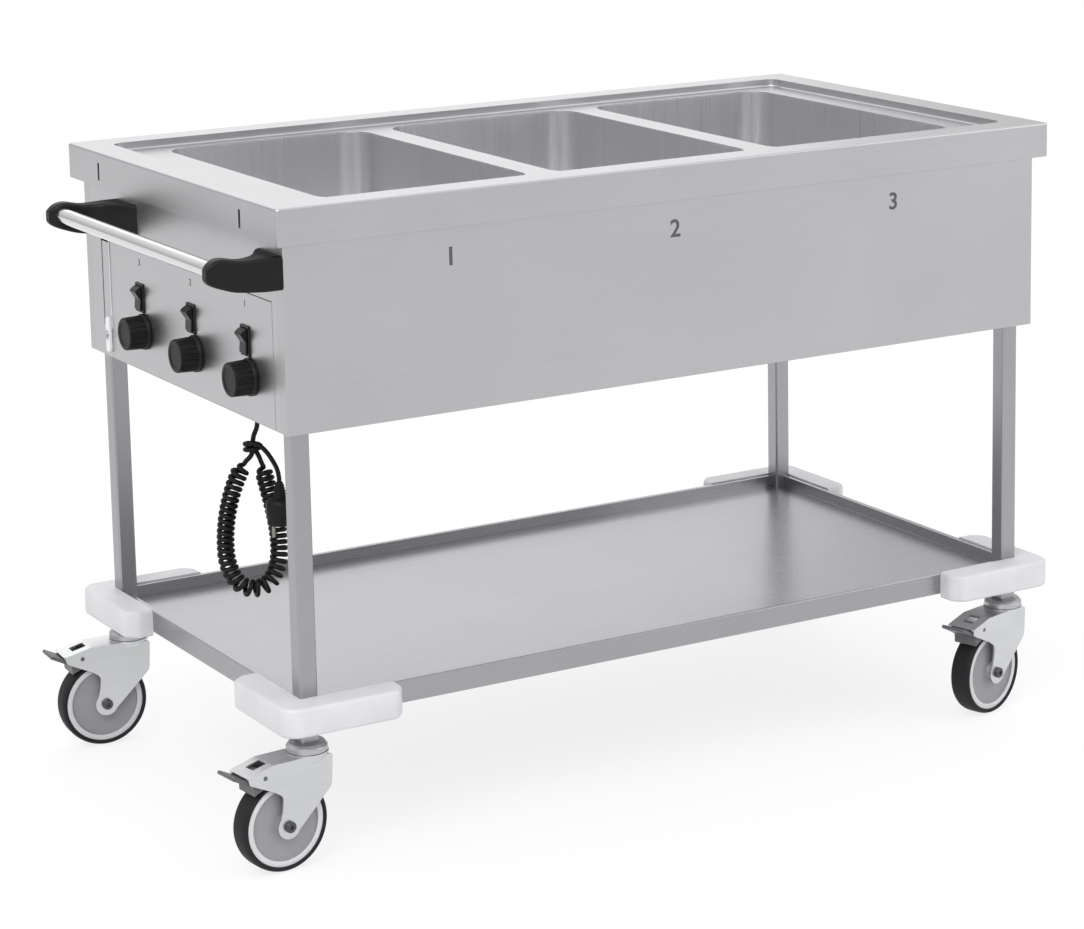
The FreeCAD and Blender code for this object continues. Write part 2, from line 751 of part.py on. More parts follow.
# ---- castors -------------------------------------------------------------------------------------
crown_top = castor_height - head_depth - head_gap
crown_bottom = crown_top - crown_depth
fork_half = fork_gap / 2


def castor_head():
    """The fixed head: race plate, kingpin with its riveted end, and the stem inside the leg."""
    top, low = castor_height, castor_height - head_depth
    stem = tube_size / 2 - tube_wall - stem_side_gap
    pin_end = crown_bottom - head_gap
    points = [(0, top + stem_length), (stem, top + stem_length, 2), (stem, top), (head_radius - 4, top, 3),
              (head_radius, top - 5, 3), (head_radius, low), (kingpin_radius, low), (kingpin_radius, pin_end),
              (kingpin_radius + 4, pin_end), (kingpin_radius + 3, pin_end - 3), (0, pin_end - 3)]
    return turned(points, V(0, 0, 0), Z_AXIS, X_AXIS)


def castor_fork():
    """The pressed fork: crown, two side plates that widen into the brake housing, and the hood."""
    bore, brim = kingpin_radius + running_gap, head_radius + 1
    ring = [(bore, crown_bottom), (head_radius - 3, crown_bottom, 3), (brim, crown_top - 3, 2),
            (brim, crown_top), (bore, crown_top)]
    crown = turned(ring, V(0, 0, 0), Z_AXIS, X_AXIS)
    axle_x, axle_z = -castor_trail, wheel_radius
    boss = axle_boss_radius
    knee, tip, roof = -hood_knee, -hood_reach, crown_top - 1
    lip = hood_tip_height - hood_lip
    side = [(fork_back, crown_top - 4, 3), (fork_back - 2, fork_waist_height, 14),
            (axle_x + boss * 0.9, axle_z - boss * 0.44), (axle_x - boss * 0.97, axle_z - boss * 0.2),
            (axle_x - boss * 0.55, axle_z + boss * 1.4, 24), (axle_x - boss * 0.45, fork_notch_height, 9),
            (knee, fork_notch_height + boss * 0.55, 8), (tip + 4, lip, 4), (tip, hood_tip_height, 3),
            (knee, roof, 12), (knee / 3, roof, 4)]
    parts = []
    for y in (-fork_half - fork_plate, fork_half):
        wall = plate(side, lambda x, z: V(x, y, z), V(0, fork_plate, 0))
        disc = rod(boss, V(axle_x, y, axle_z), Y_AXIS, fork_plate)
        parts.append(wall.fuse(disc))
    hood = [(knee / 3, roof), (knee, roof, 12), (tip, hood_tip_height),
            (tip + 1, hood_tip_height - hood_sheet), (knee, roof - hood_sheet, 10),
            (knee / 3, roof - hood_sheet)]
    cover = plate(hood, lambda x, z: V(x, -fork_half, z), V(0, fork_gap, 0))
    wide = window_width / 2
    cover = cover.cut(block(-window_far, -window_near, -wide, wide, lip, crown_top + 1))
    web = block(-fork_half - 2, fork_half + 2, -fork_half, fork_half, crown_bottom, crown_bottom + 4)
    fork = crown.fuse(parts + [cover, web]).removeSplitter()
    fork = fork.cut(rod(bore, V(0, 0, crown_bottom - 5), Z_AXIS, crown_depth + 10))
    through = 2 * (fork_half + fork_plate) + 2
    start = -fork_half - fork_plate - 1
    fork = fork.cut(rod(axle_radius, V(axle_x, start, axle_z), Y_AXIS, through))
    pedal_pin = V(-pedal_pivot_reach, start, pedal_pivot_height)
    return fork.cut(rod(pedal_pin_radius + running_gap, pedal_pin, Y_AXIS, through))


def hexagon(radius):
    return [(radius * math.cos(math.pi / 3 * k), radius * math.sin(math.pi / 3 * k)) for k in range(6)]


def castor_axle():
    """The axle bolt with its round head and nut outside the fork."""
    x, z = -castor_trail, wheel_radius
    side = fork_half + fork_plate
    shank = rod(axle_radius, V(x, -side, z), Y_AXIS, 2 * side)
    r, deep = bolt_head_radius, bolt_head_depth
    head = turned([(0, 0), (r, 0), (r, deep, 1.5), (0, deep)], V(x, -side, z), V(0, -1, 0), X_AXIS)
    nut = plate(hexagon(r), lambda a, b: V(x + a, side, z + b), V(0, deep, 0))
    socket = plate(hexagon(bolt_key_radius), lambda a, b: V(x + a, -side - deep, z + b), V(0, deep / 2, 0))
    return shank.fuse([head, nut]).removeSplitter().cut(socket)


def castor_wheel():
    """The moulded wheel: hub, closed disc and raised outer ring."""
    hub, disc, ring = hub_width / 2, disc_width / 2, rim_ring_width / 2
    bore = axle_radius + running_gap
    half = [(bore, hub), (hub_radius, hub, 1), (hub_radius + 2, disc), (rim_ring_inner - 1.5, disc - 1.5),
            (rim_ring_inner, ring, 0.8), (rim_ring_radius, ring)]
    points = [(r, h) + tuple(extra) for r, h, *extra in half]
    points += [(r, -h) + tuple(extra) for r, h, *extra in reversed(half)]
    return turned(points, V(-castor_trail, 0, wheel_radius), Y_AXIS, X_AXIS)


def castor_tyre():
    """The rubber tyre, with a gently crowned tread."""
    half = tyre_width / 2
    points = [(rim_ring_radius, -half + 1), (wheel_radius - 3, -half, 1.5), (wheel_radius, -half + 7, 5),
              (wheel_radius, half - 7, 5), (wheel_radius - 3, half, 1.5), (rim_ring_radius, half - 1)]
    return turned(points, V(-castor_trail, 0, wheel_radius), Y_AXIS, X_AXIS)


def brake_pedal():
    """The foot brake: a lever between the fork plates with a shoe that comes down on the tyre."""
    half = fork_half - pedal_side_gap
    px, pz = -pedal_pivot_reach, pedal_pivot_height
    bend, tip = -pedal_bend_reach, -pedal_tip_reach
    t = pedal_thickness
    pivot = V(px, 0, pz)
    lever = [(px + 7, pz - 7, 4), (px, pz - 9, 2), (px, pz - 20), (px - 14, pz - 26), (px - 15, pz - 10, 4),
             (bend, pedal_bend_height, 8), (tip, pedal_tip_height, 2),
             (tip + 0.45 * t, pedal_tip_height + 0.89 * t, 2),
             (bend + 0.45 * t, pedal_bend_height + 0.89 * t, 8), (px - 10, pz + 1, 6), (px - 3, pz + 6, 4),
             (px + 6, pz + 6, 4)]
    body = plate(lever, lambda x, z: V(x, -half, z), V(0, 2 * half, 0))
    body.rotate(pivot, Y_AXIS, -pedal_press)
    reach = wheel_radius + brake_gap
    body = body.cut(rod(reach, V(-castor_trail, -half - 1, wheel_radius), Y_AXIS, 2 * half + 2))
    body.rotate(pivot, Y_AXIS, pedal_press)
    pin = rod(pedal_pin_radius, V(px, -fork_half - fork_plate, pz), Y_AXIS, 2 * (fork_half + fork_plate))
    return body.fuse(pin).removeSplitter()


def set_castor(shape, place, x, y):
    """Turns a castor piece to its rest direction and puts it under a leg."""
    shape.rotate(V(0, 0, 0), Z_AXIS, castor_rest_turns[place])
    shape.translate(V(x + castor_inset, y + castor_inset, 0))
    return shape


# ---- mains lead ----------------------------------------------------------------------------------
def cord_place(along, depth, height):
    """A point of the lead: along and behind the upright plane that the loop hangs in, and above the exit."""
    turn = math.radians(cord_plane_turn)
    x = cord_exit_x + along * math.cos(turn) + depth * math.sin(turn)
    y = cord_exit_y - along * math.sin(turn) + depth * math.cos(turn)
    return V(x, y, relief_end + height)


tail_route = [(0, 0, 0), (0, 0, -8.5), (wrap_along, 0, -21.5), (wrap_along, 0, -44.5), (-17, -2.5, -53.5)]
loop_route = [(-17, -2.5, -53.5), (-30, -5.75, -65.2), (-44, -8, -102.5), (-49, -6, -147.5),
              (-47.5, -3, -194.5), (-28, -1, -224.5), (5, 1, -224.5), (23.5, 3, -194.5),
              (24.5, 5, -154.5), (19, 8, -114.5), (9.5, 8, -79.5), (3, 7, -58.5)]


def wrap_points():
    """Corners of the lead's turns round its own tail: six to a turn, one and a half turns."""
    corners = []
    for k in range(1, 10):
        angle = math.radians(60 * (k + 1))
        along, depth = wrap_corner_radius * math.cos(angle), wrap_corner_radius * math.sin(angle)
        corners.append((wrap_along + along, depth, wrap_pitch * k / 6 - wrap_below_exit))
    return corners


lead_route = [(3, 7, -58.5), (0.5, 6.6, -50.4), (-3.5, 7.5, -42.5)] + wrap_points()
lead_route += [(-2.5, -9.5, -27.7), (9, -13, -34.5), (19, -18, -47.5), (28, -24, -63.5), (28, -24, -76.5)]


def bend_line(points):
    """Straight runs joined by tangent arcs, each arc as large as its two shorter runs allow."""
    corners = [cord_place(*p) for p in points]
    edges, radii = [], []
    start = corners[0]
    for before, corner, after in zip(corners, corners[1:], corners[2:]):
        back, ahead = before - corner, after - corner
        shorter = min(back.Length, ahead.Length)
        back.normalize()
        ahead.normalize()
        half_turn = (math.pi - back.getAngle(ahead)) / 2
        radius = 0.45 * shorter / math.tan(half_turn)
        radii.append(radius)
        first, last = corner + back * (0.45 * shorter), corner + ahead * (0.45 * shorter)
        middle = corner + (back + ahead).normalize() * (radius / math.cos(half_turn) - radius)
        edges.append(Part.LineSegment(start, first).toShape())
        edges.append(Part.Arc(first, middle, last).toShape())
        start = last
    edges.append(Part.LineSegment(start, corners[-1]).toShape())
    return edges, radii


def sweep(edges, radius):
    """A round solid along joined edges."""
    first = edges[0]
    start = first.valueAt(first.FirstParameter)
    direction = first.tangentAt(first.FirstParameter)
    pipe = Part.BRepOffsetAPI.MakePipeShell(Part.Wire(edges))
    pipe.add(Part.Wire(Part.makeCircle(radius, start, direction)))
    pipe.build()
    pipe.makeSolid()
    return pipe.shape()


def cord_tube(name, points):
    """The plain round lead along a route, with its radii and its volume printed."""
    edges, radii = bend_line(points)
    tube = sweep(edges, cord_radius)
    length = sum(e.Length for e in edges)
    whole = math.pi * cord_radius ** 2 * length
    print("%s: length %.0f, radii %s, volume over section times length %.4f"
          % (name, length, ", ".join("%.1f" % r for r in radii), tube.Volume / whole))
    return tube


def arc_from(start, direction, end):
    """The arc that leaves start along direction and reaches end."""
    chord = end - start
    length = chord.Length
    unit = V(chord).normalize()
    lean = direction.getAngle(unit)
    sideways = direction - unit * (direction * unit)
    if sideways.Length < 1e-7:
        return Part.LineSegment(start, end).toShape()
    middle = (start + end) * 0.5 + sideways.normalize() * (length / 2 * math.tan(lean / 2))
    return Part.Arc(start, middle, end).toShape()


def biarc(p0, t0, p1, t1):
    """Two tangent arcs between two points with given directions."""
    way = p1 - p0
    a = 2 * (t0 * t1 - 1)
    b = -2 * (way * (t0 + t1))
    c = way * way
    if abs(a) < 1e-9:
        reach = -c / b
    else:
        reach = (-b - math.sqrt(b * b - 4 * a * c)) / (2 * a)
    joint = (p0 + p1 + (t0 - t1) * reach) * 0.5
    first = arc_from(p0, t0, joint)
    back = arc_from(p1, t1 * -1, joint)
    turned_back = Part.Arc(joint, back.valueAt((back.FirstParameter + back.LastParameter) / 2), p1).toShape()
    return [first, turned_back]


def curl_line():
    """Close points of the curled lead with their turn numbers, and the number of whole quarter turns."""
    edges, _ = bend_line(loop_route)
    whole_length = sum(e.Length for e in edges)
    lead_in = 2 * cord_radius
    side = cord_place(0, 1, 0) - cord_place(0, 0, 0)
    pitch = 2 * cord_radius + curl_turn_gap
    line, turn, run = [], 0.0, 0.0
    for edge in edges:
        lean = curl_radius / edge.Curve.Radius if isinstance(edge.Curve, Part.Circle) else 0.0
        count = max(2, int(edge.Length / curl_step))
        for k in range(count):
            u = edge.FirstParameter + (edge.LastParameter - edge.FirstParameter) * k / count
            share = min(run - lead_in, whole_length - lead_in - run) / curl_ramp
            share = max(0.0, min(1.0, share))
            line.append((edge.valueAt(u), edge.tangentAt(u), share, turn))
            if lead_in <= run <= whole_length - lead_in:
                slack = (1 + (curl_ramp_stretch - 1) * (1 - share)) / (1 - lean)
                turn += edge.Length / count / (pitch * slack)
            run += edge.Length / count
    quarters = round(turn * 4)
    points = []
    for centre, way, share, at in line:
        at = at * quarters / 4 / turn
        radius = curl_radius * share * share * (3 - 2 * share)
        inward = way.cross(side).normalize()
        out = inward.cross(way)
        angle = 2 * math.pi * at
        points.append((at, centre + (inward * math.cos(angle) + out * math.sin(angle)) * radius))
    points.append((quarters / 4, edges[-1].valueAt(edges[-1].LastParameter)))
    return points, quarters


def curls():
    """The curled stretch: arcs in pairs between points a quarter turn apart, with short straight ends."""
    points, quarters = curl_line()
    stations = []
    for k in range(1, len(points) - 1):
        at = points[k][0] * 4
        if at >= len(stations) and at < quarters - 0.5 and points[k + 1][0] > 0:
            stations.append((points[k][1], (points[k + 1][1] - points[k - 1][1]).normalize()))
    start, end = points[0][1], points[-1][1]
    last = [p for at, p in points if at * 4 < quarters - 1e-6][-1]
    stations.append((last, (end - last).normalize()))
    edges = [Part.LineSegment(start, stations[0][0]).toShape()]
    for (p0, t0), (p1, t1) in zip(stations, stations[1:]):
        edges += biarc(p0, t0, p1, t1)
    edges.append(Part.LineSegment(stations[-1][0], end).toShape())
    tube = sweep(edges, cord_radius)
    length = sum(e.Length for e in edges)
    print("curls: turns %.2f, lead length %.0f, volume over section times length %.4f"
          % (quarters / 4, length, tube.Volume / (math.pi * cord_radius ** 2 * length)))
    tightest = min(e.Curve.Radius for e in edges if isinstance(e.Curve, Part.Circle))
    print("curls: tightest arc %.2f, least gap %.2f" % (tightest, least_gap(edges)))
    return tube


def least_gap(edges):
    """The smallest clear distance between stretches of the lead that are not next to each other."""
    samples, run = [], 0.0
    for edge in edges:
        count = max(1, int(edge.Length / curl_check_step))
        for k in range(count):
            u = edge.FirstParameter + (edge.LastParameter - edge.FirstParameter) * k / count
            samples.append((run + edge.Length * k / count, edge.valueAt(u)))
        run += edge.Length
    apart = 6 * cord_radius
    best = 1e9
    for i, (s0, p0) in enumerate(samples):
        for s1, p1 in samples[i + 1:]:
            if s1 - s0 > apart:
                best = min(best, (p1 - p0).Length)
    return best - 2 * cord_radius


def cord_gland():
    """The gland under the bottom pan with its tapered strain relief."""
    r, nut = gland_hole_radius, gland_nut_radius
    low, nut_top = pan_under - gland_body_depth, pan_top + gland_nut_depth
    points = [(0, nut_top + 2), (r, nut_top + 2), (r, nut_top), (nut, nut_top), (nut, pan_top), (r, pan_top),
              (r, pan_under), (nut - 1, pan_under), (nut - 1, low + 2, 2), (r - 0.5, low, 2),
              (cord_radius + 1.2, relief_end), (0, relief_end)]
    return turned(points, V(cord_exit_x, cord_exit_y, 0), Z_AXIS, X_AXIS)


def plug():
    """The plug on the lead's free end, hanging with its pins down."""
    top = cord_place(*lead_route[-1])
    neck, face_drop = plug_neck_length, plug_neck_length + plug_body_length
    points = [(0, 0), (cord_radius + 1.3, 0), (cord_radius + 4, -neck + 3, 6), (plug_radius, -neck - 8, 6),
              (plug_radius, -face_drop + 12, 3), (plug_face_radius, -face_drop + 8),
              (plug_face_radius, -face_drop, 1), (0, -face_drop)]
    shape = turned(points, top, Z_AXIS, X_AXIS)
    face = top - Z_AXIS * face_drop
    for side in (-0.5, 0.5):
        start = face + (cord_place(side * plug_pin_spacing, 0, 0) - cord_place(0, 0, 0))
        pin = rod(plug_pin_radius, start, V(0, 0, -1), plug_pin_length)
        tip = [e for e in pin.Edges if abs(e.BoundBox.ZMax - pin.BoundBox.ZMin) < 1e-4]
        shape = shape.fuse(pin.makeFillet(1.5, tip))
    return shape.removeSplitter()


# ---- all pieces ----------------------------------------------------------------------------------
os.makedirs("parts", exist_ok=True)

save("top_deck", top_deck())
for number in range(well_count):
    save("well_tank_%d" % (number + 1), well_tank(number))
save("well_heaters", Part.makeCompound([well_heater(number) for number in range(well_count)]))
save("front_panel", wrap_panel(body_front, 1))
save("back_panel", wrap_panel(body_back, -1))
save("left_end_panel", left_end_panel())
save("right_end_panel", end_panel(body_right, -1))
save("control_cover", control_cover())
save("bottom_pan", bottom_pan())
save("body_rails", body_rails())

for number, place_y in enumerate(control_places, 1):
    save("knob_%d" % number, Part.makeCompound([knob(place_y), spindle(place_y)]))
    save("rocker_%d" % number, rocker(place_y + switch_shift))
save("thermostats", Part.makeCompound([thermostat(y) for y in control_places]))
save("switch_frames", Part.makeCompound([switch_frame(y + switch_shift) for y in control_places]))
save("turn_button", turn_button())
save("turn_button_screw", turn_button_screw())

save("handle_tube", handle_tube())
save("handle_bracket_near", handle_bracket(handle_near_face, 1))
save("handle_bracket_far", handle_bracket(handle_far_face, -1))

save("shelf_tray", shelf_tray())
save("shelf_stiffeners", shelf_stiffeners())
heads, legs = [], []
for place, leg_x, leg_y in leg_corners():
    legs.append(square_tube(leg_x, leg_y, leg_bottom, deck_under))
    save("bumper_" + place, corner_bumper(place))
    heads.append(set_castor(castor_head(), place, leg_x, leg_y))
    save("fork_" + place, set_castor(castor_fork(), place, leg_x, leg_y))
    save("axle_" + place, set_castor(castor_axle(), place, leg_x, leg_y))
    save("wheel_" + place, set_castor(castor_wheel(), place, leg_x, leg_y))
    save("tyre_" + place, set_castor(castor_tyre(), place, leg_x, leg_y))
    save("brake_pedal_" + place, set_castor(brake_pedal(), place, leg_x, leg_y))
save("legs", Part.makeCompound(legs))
save("castor_heads", Part.makeCompound(heads))

save("cord_gland", cord_gland())
save("cord_tail", cord_tube("cord_tail", tail_route))
save("cord_curls", curls())
save("cord_lead", cord_tube("cord_lead", lead_route))
save("plug", plug())
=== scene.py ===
# %% [markdown]
# # Heated food trolley
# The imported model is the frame: its folded and welded steel pieces keep their shape here and get their
# finish. Pieces that are moulded, turned or flexible are modelled again with more detail, in the same place.

# %% The frame and its box
import json
import math
import bmesh
import bpy
from mathutils import Matrix, Vector


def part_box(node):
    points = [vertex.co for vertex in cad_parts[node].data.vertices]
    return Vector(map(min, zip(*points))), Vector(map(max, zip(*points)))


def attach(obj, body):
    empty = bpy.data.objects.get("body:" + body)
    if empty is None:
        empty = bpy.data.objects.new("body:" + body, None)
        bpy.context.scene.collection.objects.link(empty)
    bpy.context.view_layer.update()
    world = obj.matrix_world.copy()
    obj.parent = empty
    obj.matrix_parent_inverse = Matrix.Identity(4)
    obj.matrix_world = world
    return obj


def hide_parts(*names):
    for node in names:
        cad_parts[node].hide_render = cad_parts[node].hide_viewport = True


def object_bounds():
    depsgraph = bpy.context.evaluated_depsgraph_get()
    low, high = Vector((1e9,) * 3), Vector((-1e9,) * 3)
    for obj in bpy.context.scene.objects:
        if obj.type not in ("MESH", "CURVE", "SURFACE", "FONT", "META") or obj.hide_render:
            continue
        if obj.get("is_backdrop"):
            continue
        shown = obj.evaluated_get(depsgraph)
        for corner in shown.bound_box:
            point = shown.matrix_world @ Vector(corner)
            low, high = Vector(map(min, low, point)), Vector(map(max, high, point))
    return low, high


MM = 0.001

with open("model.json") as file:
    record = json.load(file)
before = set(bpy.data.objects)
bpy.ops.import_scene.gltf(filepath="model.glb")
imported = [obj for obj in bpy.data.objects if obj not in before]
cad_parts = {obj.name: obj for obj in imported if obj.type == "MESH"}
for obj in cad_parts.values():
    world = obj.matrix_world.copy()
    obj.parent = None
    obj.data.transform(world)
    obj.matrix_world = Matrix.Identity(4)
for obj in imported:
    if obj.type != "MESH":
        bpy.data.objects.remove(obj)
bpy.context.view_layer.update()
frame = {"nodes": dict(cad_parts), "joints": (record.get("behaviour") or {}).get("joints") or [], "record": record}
joints = {joint["name"]: joint for joint in frame["joints"]}

# %% [markdown]
# The camera stands where the photograph was taken from. Its image plane is almost upright, as a view
# camera's is, so the lens is shifted down and sideways instead of tilting the camera further.

# %% Camera
CAMERA_PLACE = Vector((-2.22039, -3.87021, 1.53208))
CAMERA_HEADING = math.radians(31.371)
CAMERA_PITCH = math.radians(-10.635)
CAMERA_ROLL = math.radians(-0.848)
SENSOR_MM = 36
LENS_MM = 107.38
LENS_SHIFT = (-0.0742, -0.1974)
FARTHEST_SEEN = 60

camera = bpy.data.objects.new("camera", bpy.data.cameras.new("camera"))
bpy.context.scene.collection.objects.link(camera)
bpy.context.scene.camera = camera
heading = Matrix.Rotation(-CAMERA_HEADING, 4, "Z")
pitch = Matrix.Rotation(math.pi / 2 + CAMERA_PITCH, 4, "X")
roll = Matrix.Rotation(CAMERA_ROLL, 4, "Z")
camera.matrix_world = Matrix.Translation(CAMERA_PLACE) @ heading @ pitch @ roll
camera.data.sensor_width = SENSOR_MM
camera.data.lens = LENS_MM
camera.data.shift_x, camera.data.shift_y = LENS_SHIFT
camera.data.clip_end = FARTHEST_SEEN
print("camera right", tuple(round(v, 4) for v in camera.matrix_world.col[0]))

# %% [markdown]
# Colours are written as hex codes, the way a swatch gives them, and turned to the linear values that the
# renderer works in. One helper adds every node, and one starts every material.

# %% Colours and shader nodes
def srgb(code):
    """A hex colour as linear red, green, blue and alpha."""
    parts = [int(code[i:i + 2], 16) / 255 for i in (1, 3, 5)]
    return (*[p / 12.92 if p <= 0.04045 else ((p + 0.055) / 1.055) ** 2.4 for p in parts], 1.0)


def add_node(tree, kind, inputs=None, **settings):
    """Adds one shader node, sets it up, and fills or links its inputs."""
    node = tree.nodes.new("ShaderNode" + kind)
    for name, value in settings.items():
        setattr(node, name, value)
    for name, value in (inputs or {}).items():
        if isinstance(value, bpy.types.NodeSocket):
            tree.links.new(value, node.inputs[name])
        else:
            node.inputs[name].default_value = value
    return node


def new_material(name, **shader_values):
    """A material with its tree and its shader; the values go on the shader's own sockets."""
    material = bpy.data.materials.new(name)
    material.use_nodes = True
    shader = material.node_tree.nodes["Principled BSDF"]
    for socket, value in shader_values.items():
        shader.inputs[socket.replace("_", " ")].default_value = value
    return material, material.node_tree, shader


# %% [markdown]
# The floor and backdrop are white paper. What the camera sees of the empty studio is white, and metal sees
# a softer room that is grey at eye height and bright overhead, so that its faces part from each other. Paper
# seen straight or in a mirror is mostly glow, which keeps it white and still lets soft shadows show.

# %% Floor, room and lamps
FLOOR_HALF = 14.0
PAPER_WHITENESS = 0.8
ROOM_TOP = 1.2
ROOM_SIDE = 0.58
ROOM_TOP_FROM = 0.7

mesh = bpy.data.meshes.new("floor")
shape = bmesh.new()
bmesh.ops.create_grid(shape, x_segments=1, y_segments=1, size=FLOOR_HALF)
shape.to_mesh(mesh)
shape.free()
floor = bpy.data.objects.new("floor", mesh)
bpy.context.scene.collection.objects.link(floor)
floor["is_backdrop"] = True
paper, tree, shader = new_material("white paper", Roughness=0.9, Base_Color=srgb("#F4F4F5"))
rays = add_node(tree, "LightPath").outputs
looked_at = rays["Is Camera Ray"]
for other in ("Is Glossy Ray", "Is Transmission Ray"):
    looked_at = add_node(tree, "Math", {0: looked_at, 1: rays[other]}, operation="MAXIMUM").outputs[0]
share = add_node(tree, "Math", {0: looked_at, 1: PAPER_WHITENESS}, operation="MULTIPLY").outputs[0]
white = add_node(tree, "Emission", {"Color": (1, 1, 1, 1), "Strength": 1.0}).outputs[0]
both = add_node(tree, "MixShader", {0: share, 1: shader.outputs[0], 2: white}).outputs[0]
tree.links.new(both, tree.nodes["Material Output"].inputs["Surface"])
mesh.materials.append(paper)

world = bpy.data.worlds.new("studio")
bpy.context.scene.world = world
world.use_nodes = True
tree = world.node_tree
for node in list(tree.nodes):
    tree.nodes.remove(node)
direction = add_node(tree, "TexCoord").outputs["Generated"]
height = add_node(tree, "SeparateXYZ", {"Vector": direction}).outputs["Z"]
climb = {"Value": height, "From Max": ROOM_TOP_FROM, "To Min": ROOM_SIDE, "To Max": ROOM_TOP}
shade = add_node(tree, "MapRange", climb, interpolation_type="SMOOTHSTEP").outputs["Result"]
seen = add_node(tree, "LightPath").outputs["Is Camera Ray"]
level = add_node(tree, "Mix", {0: seen, 2: shade, 3: 1.0}).outputs[0]
light = add_node(tree, "Background", {"Color": (1, 1, 1, 1), "Strength": level})
add_node(tree, "OutputWorld", {"Surface": light.outputs[0]})


def lamp(name, place, target, size, watts):
    """A square soft light aimed at a point."""
    data = bpy.data.lights.new(name, "AREA")
    data.size, data.energy = size, watts
    lamp_object = bpy.data.objects.new(name, data)
    lamp_object.location = place
    lamp_object.rotation_euler = (Vector(target) - Vector(place)).to_track_quat("-Z", "Y").to_euler()
    bpy.context.scene.collection.objects.link(lamp_object)


lamp("key", (-2.6, -2.4, 3.4), (0, 0, 0.5), 2.2, 70)
lamp("fill", (3.2, -2.8, 2.0), (0, 0, 0.5), 2.4, 22)
lamp("back", (1.1, 3.3, 2.7), (0, 0, 0.7), 3.2, 20)

# %% [markdown]
# The body is satin stainless sheet. Grinding with a belt leaves fine parallel lines, which spread a
# highlight across themselves. Real lines are about a tenth of a millimetre apart, too fine to show, so they
# are drawn coarser. One helper makes every metal here: a grit pattern stretched along the lines varies tone,
# gloss and height a little, and a slow haze clouds large faces. The sheets differ a little in colour, and the
# tube is dull. The tank's steel is painted much brighter than the sheet it is pressed from: painted light that
# makes up for the light lost in the many reflections it is seen through, down in the wells.

# %% Satin stainless steel
LINE_MM = 0.9
LINE_LENGTH_MM = 260
LINE_DEPTH_MM = 0.04
HAZE_PER_METRE = 7.0
STEEL_GLOSS_RANGE = 0.07


def satin_steel(name, colour, roughness, along, line_mm=LINE_MM, relief=0.25):
    """Ground stainless steel with its lines along axis 0, 1 or 2."""
    material, tree, shader = new_material(name, Metallic=1.0)
    place = add_node(tree, "TexCoord").outputs["Object"]
    scale = [1000 / line_mm] * 3
    scale[along] = 1000 / LINE_LENGTH_MM
    lines = add_node(tree, "Mapping", {"Vector": place, "Scale": scale}).outputs[0]
    pattern = {"Vector": lines, "Scale": 1.0, "Detail": 3.0, "Roughness": 0.65}
    grit = add_node(tree, "TexNoise", pattern).outputs["Fac"]
    slow = {"Vector": place, "Scale": HAZE_PER_METRE, "Detail": 4.0}
    haze = add_node(tree, "TexNoise", slow).outputs["Fac"]
    tone = add_node(tree, "MapRange", {"Value": grit, "To Min": 0.9, "To Max": 1.08}).outputs[0]
    cloud = add_node(tree, "MapRange", {"Value": haze, "To Min": 0.95, "To Max": 1.05}).outputs[0]
    both = add_node(tree, "Math", {0: tone, 1: cloud}, operation="MULTIPLY").outputs[0]
    tint = add_node(tree, "HueSaturation", {"Color": srgb(colour), "Value": both}).outputs[0]
    spread = {"Value": grit, "To Min": roughness - STEEL_GLOSS_RANGE,
              "To Max": roughness + STEEL_GLOSS_RANGE}
    rough = add_node(tree, "MapRange", spread).outputs[0]
    furrows = {"Height": grit, "Strength": relief, "Distance": LINE_DEPTH_MM * MM}
    bump = add_node(tree, "Bump", furrows).outputs[0]
    tree.links.new(tint, shader.inputs["Base Color"])
    tree.links.new(rough, shader.inputs["Roughness"])
    tree.links.new(bump, shader.inputs["Normal"])
    return material


steel_long = satin_steel("satin stainless sheet, lines along the length", "#BCBCBE", 0.36, 0)
steel_across = satin_steel("satin stainless sheet, lines across", "#BFBFC1", 0.36, 1)
steel_fine = satin_steel("fine ground stainless sheet", "#A4A4A7", 0.28, 0, relief=0.12)
steel_upright = satin_steel("satin stainless tube", "#A6A6A9", 0.33, 2)
# Painted light: the tank's colour is far brighter than the sheet's, for the light lost in the wells' reflections.
steel_tank_painted_bright = satin_steel("pressed stainless tank", "#E5E5E7", 0.3, 2, line_mm=2.5, relief=0.12)
zinc = satin_steel("zinc-plated pressed steel", "#D2D3D4", 0.34, 0, line_mm=14, relief=0.1)
bolt = satin_steel("zinc-plated bolts", "#B9B9BB", 0.3, 0, line_mm=6, relief=0.1)
dark_bolt = satin_steel("oiled black steel bolts", "#5A5A5C", 0.38, 0, line_mm=6, relief=0.1)
chrome = satin_steel("polished stainless tube", "#DADADC", 0.16, 1, line_mm=1.5, relief=0.06)
print("metals are drawn with lines", LINE_MM, "mm apart")

# %% [markdown]
# Plastic and rubber are moulded against a spark-eroded steel, which leaves a fine grain. The grain breaks a
# highlight up, and a slow haze keeps large faces from looking painted. Black polyamide is half matt, rubber
# more so and with hardly any shine at a glancing angle, the buffers' polyethylene is pale and waxy, and the
# pedals are powder-coated. Below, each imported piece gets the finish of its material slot.

# %% Plastics and rubber
GRAIN_DEPTH_MM = 0.1
PLASTIC_HAZE_PER_METRE = 22.0
PLASTIC_GLOSS_RANGE = 0.06


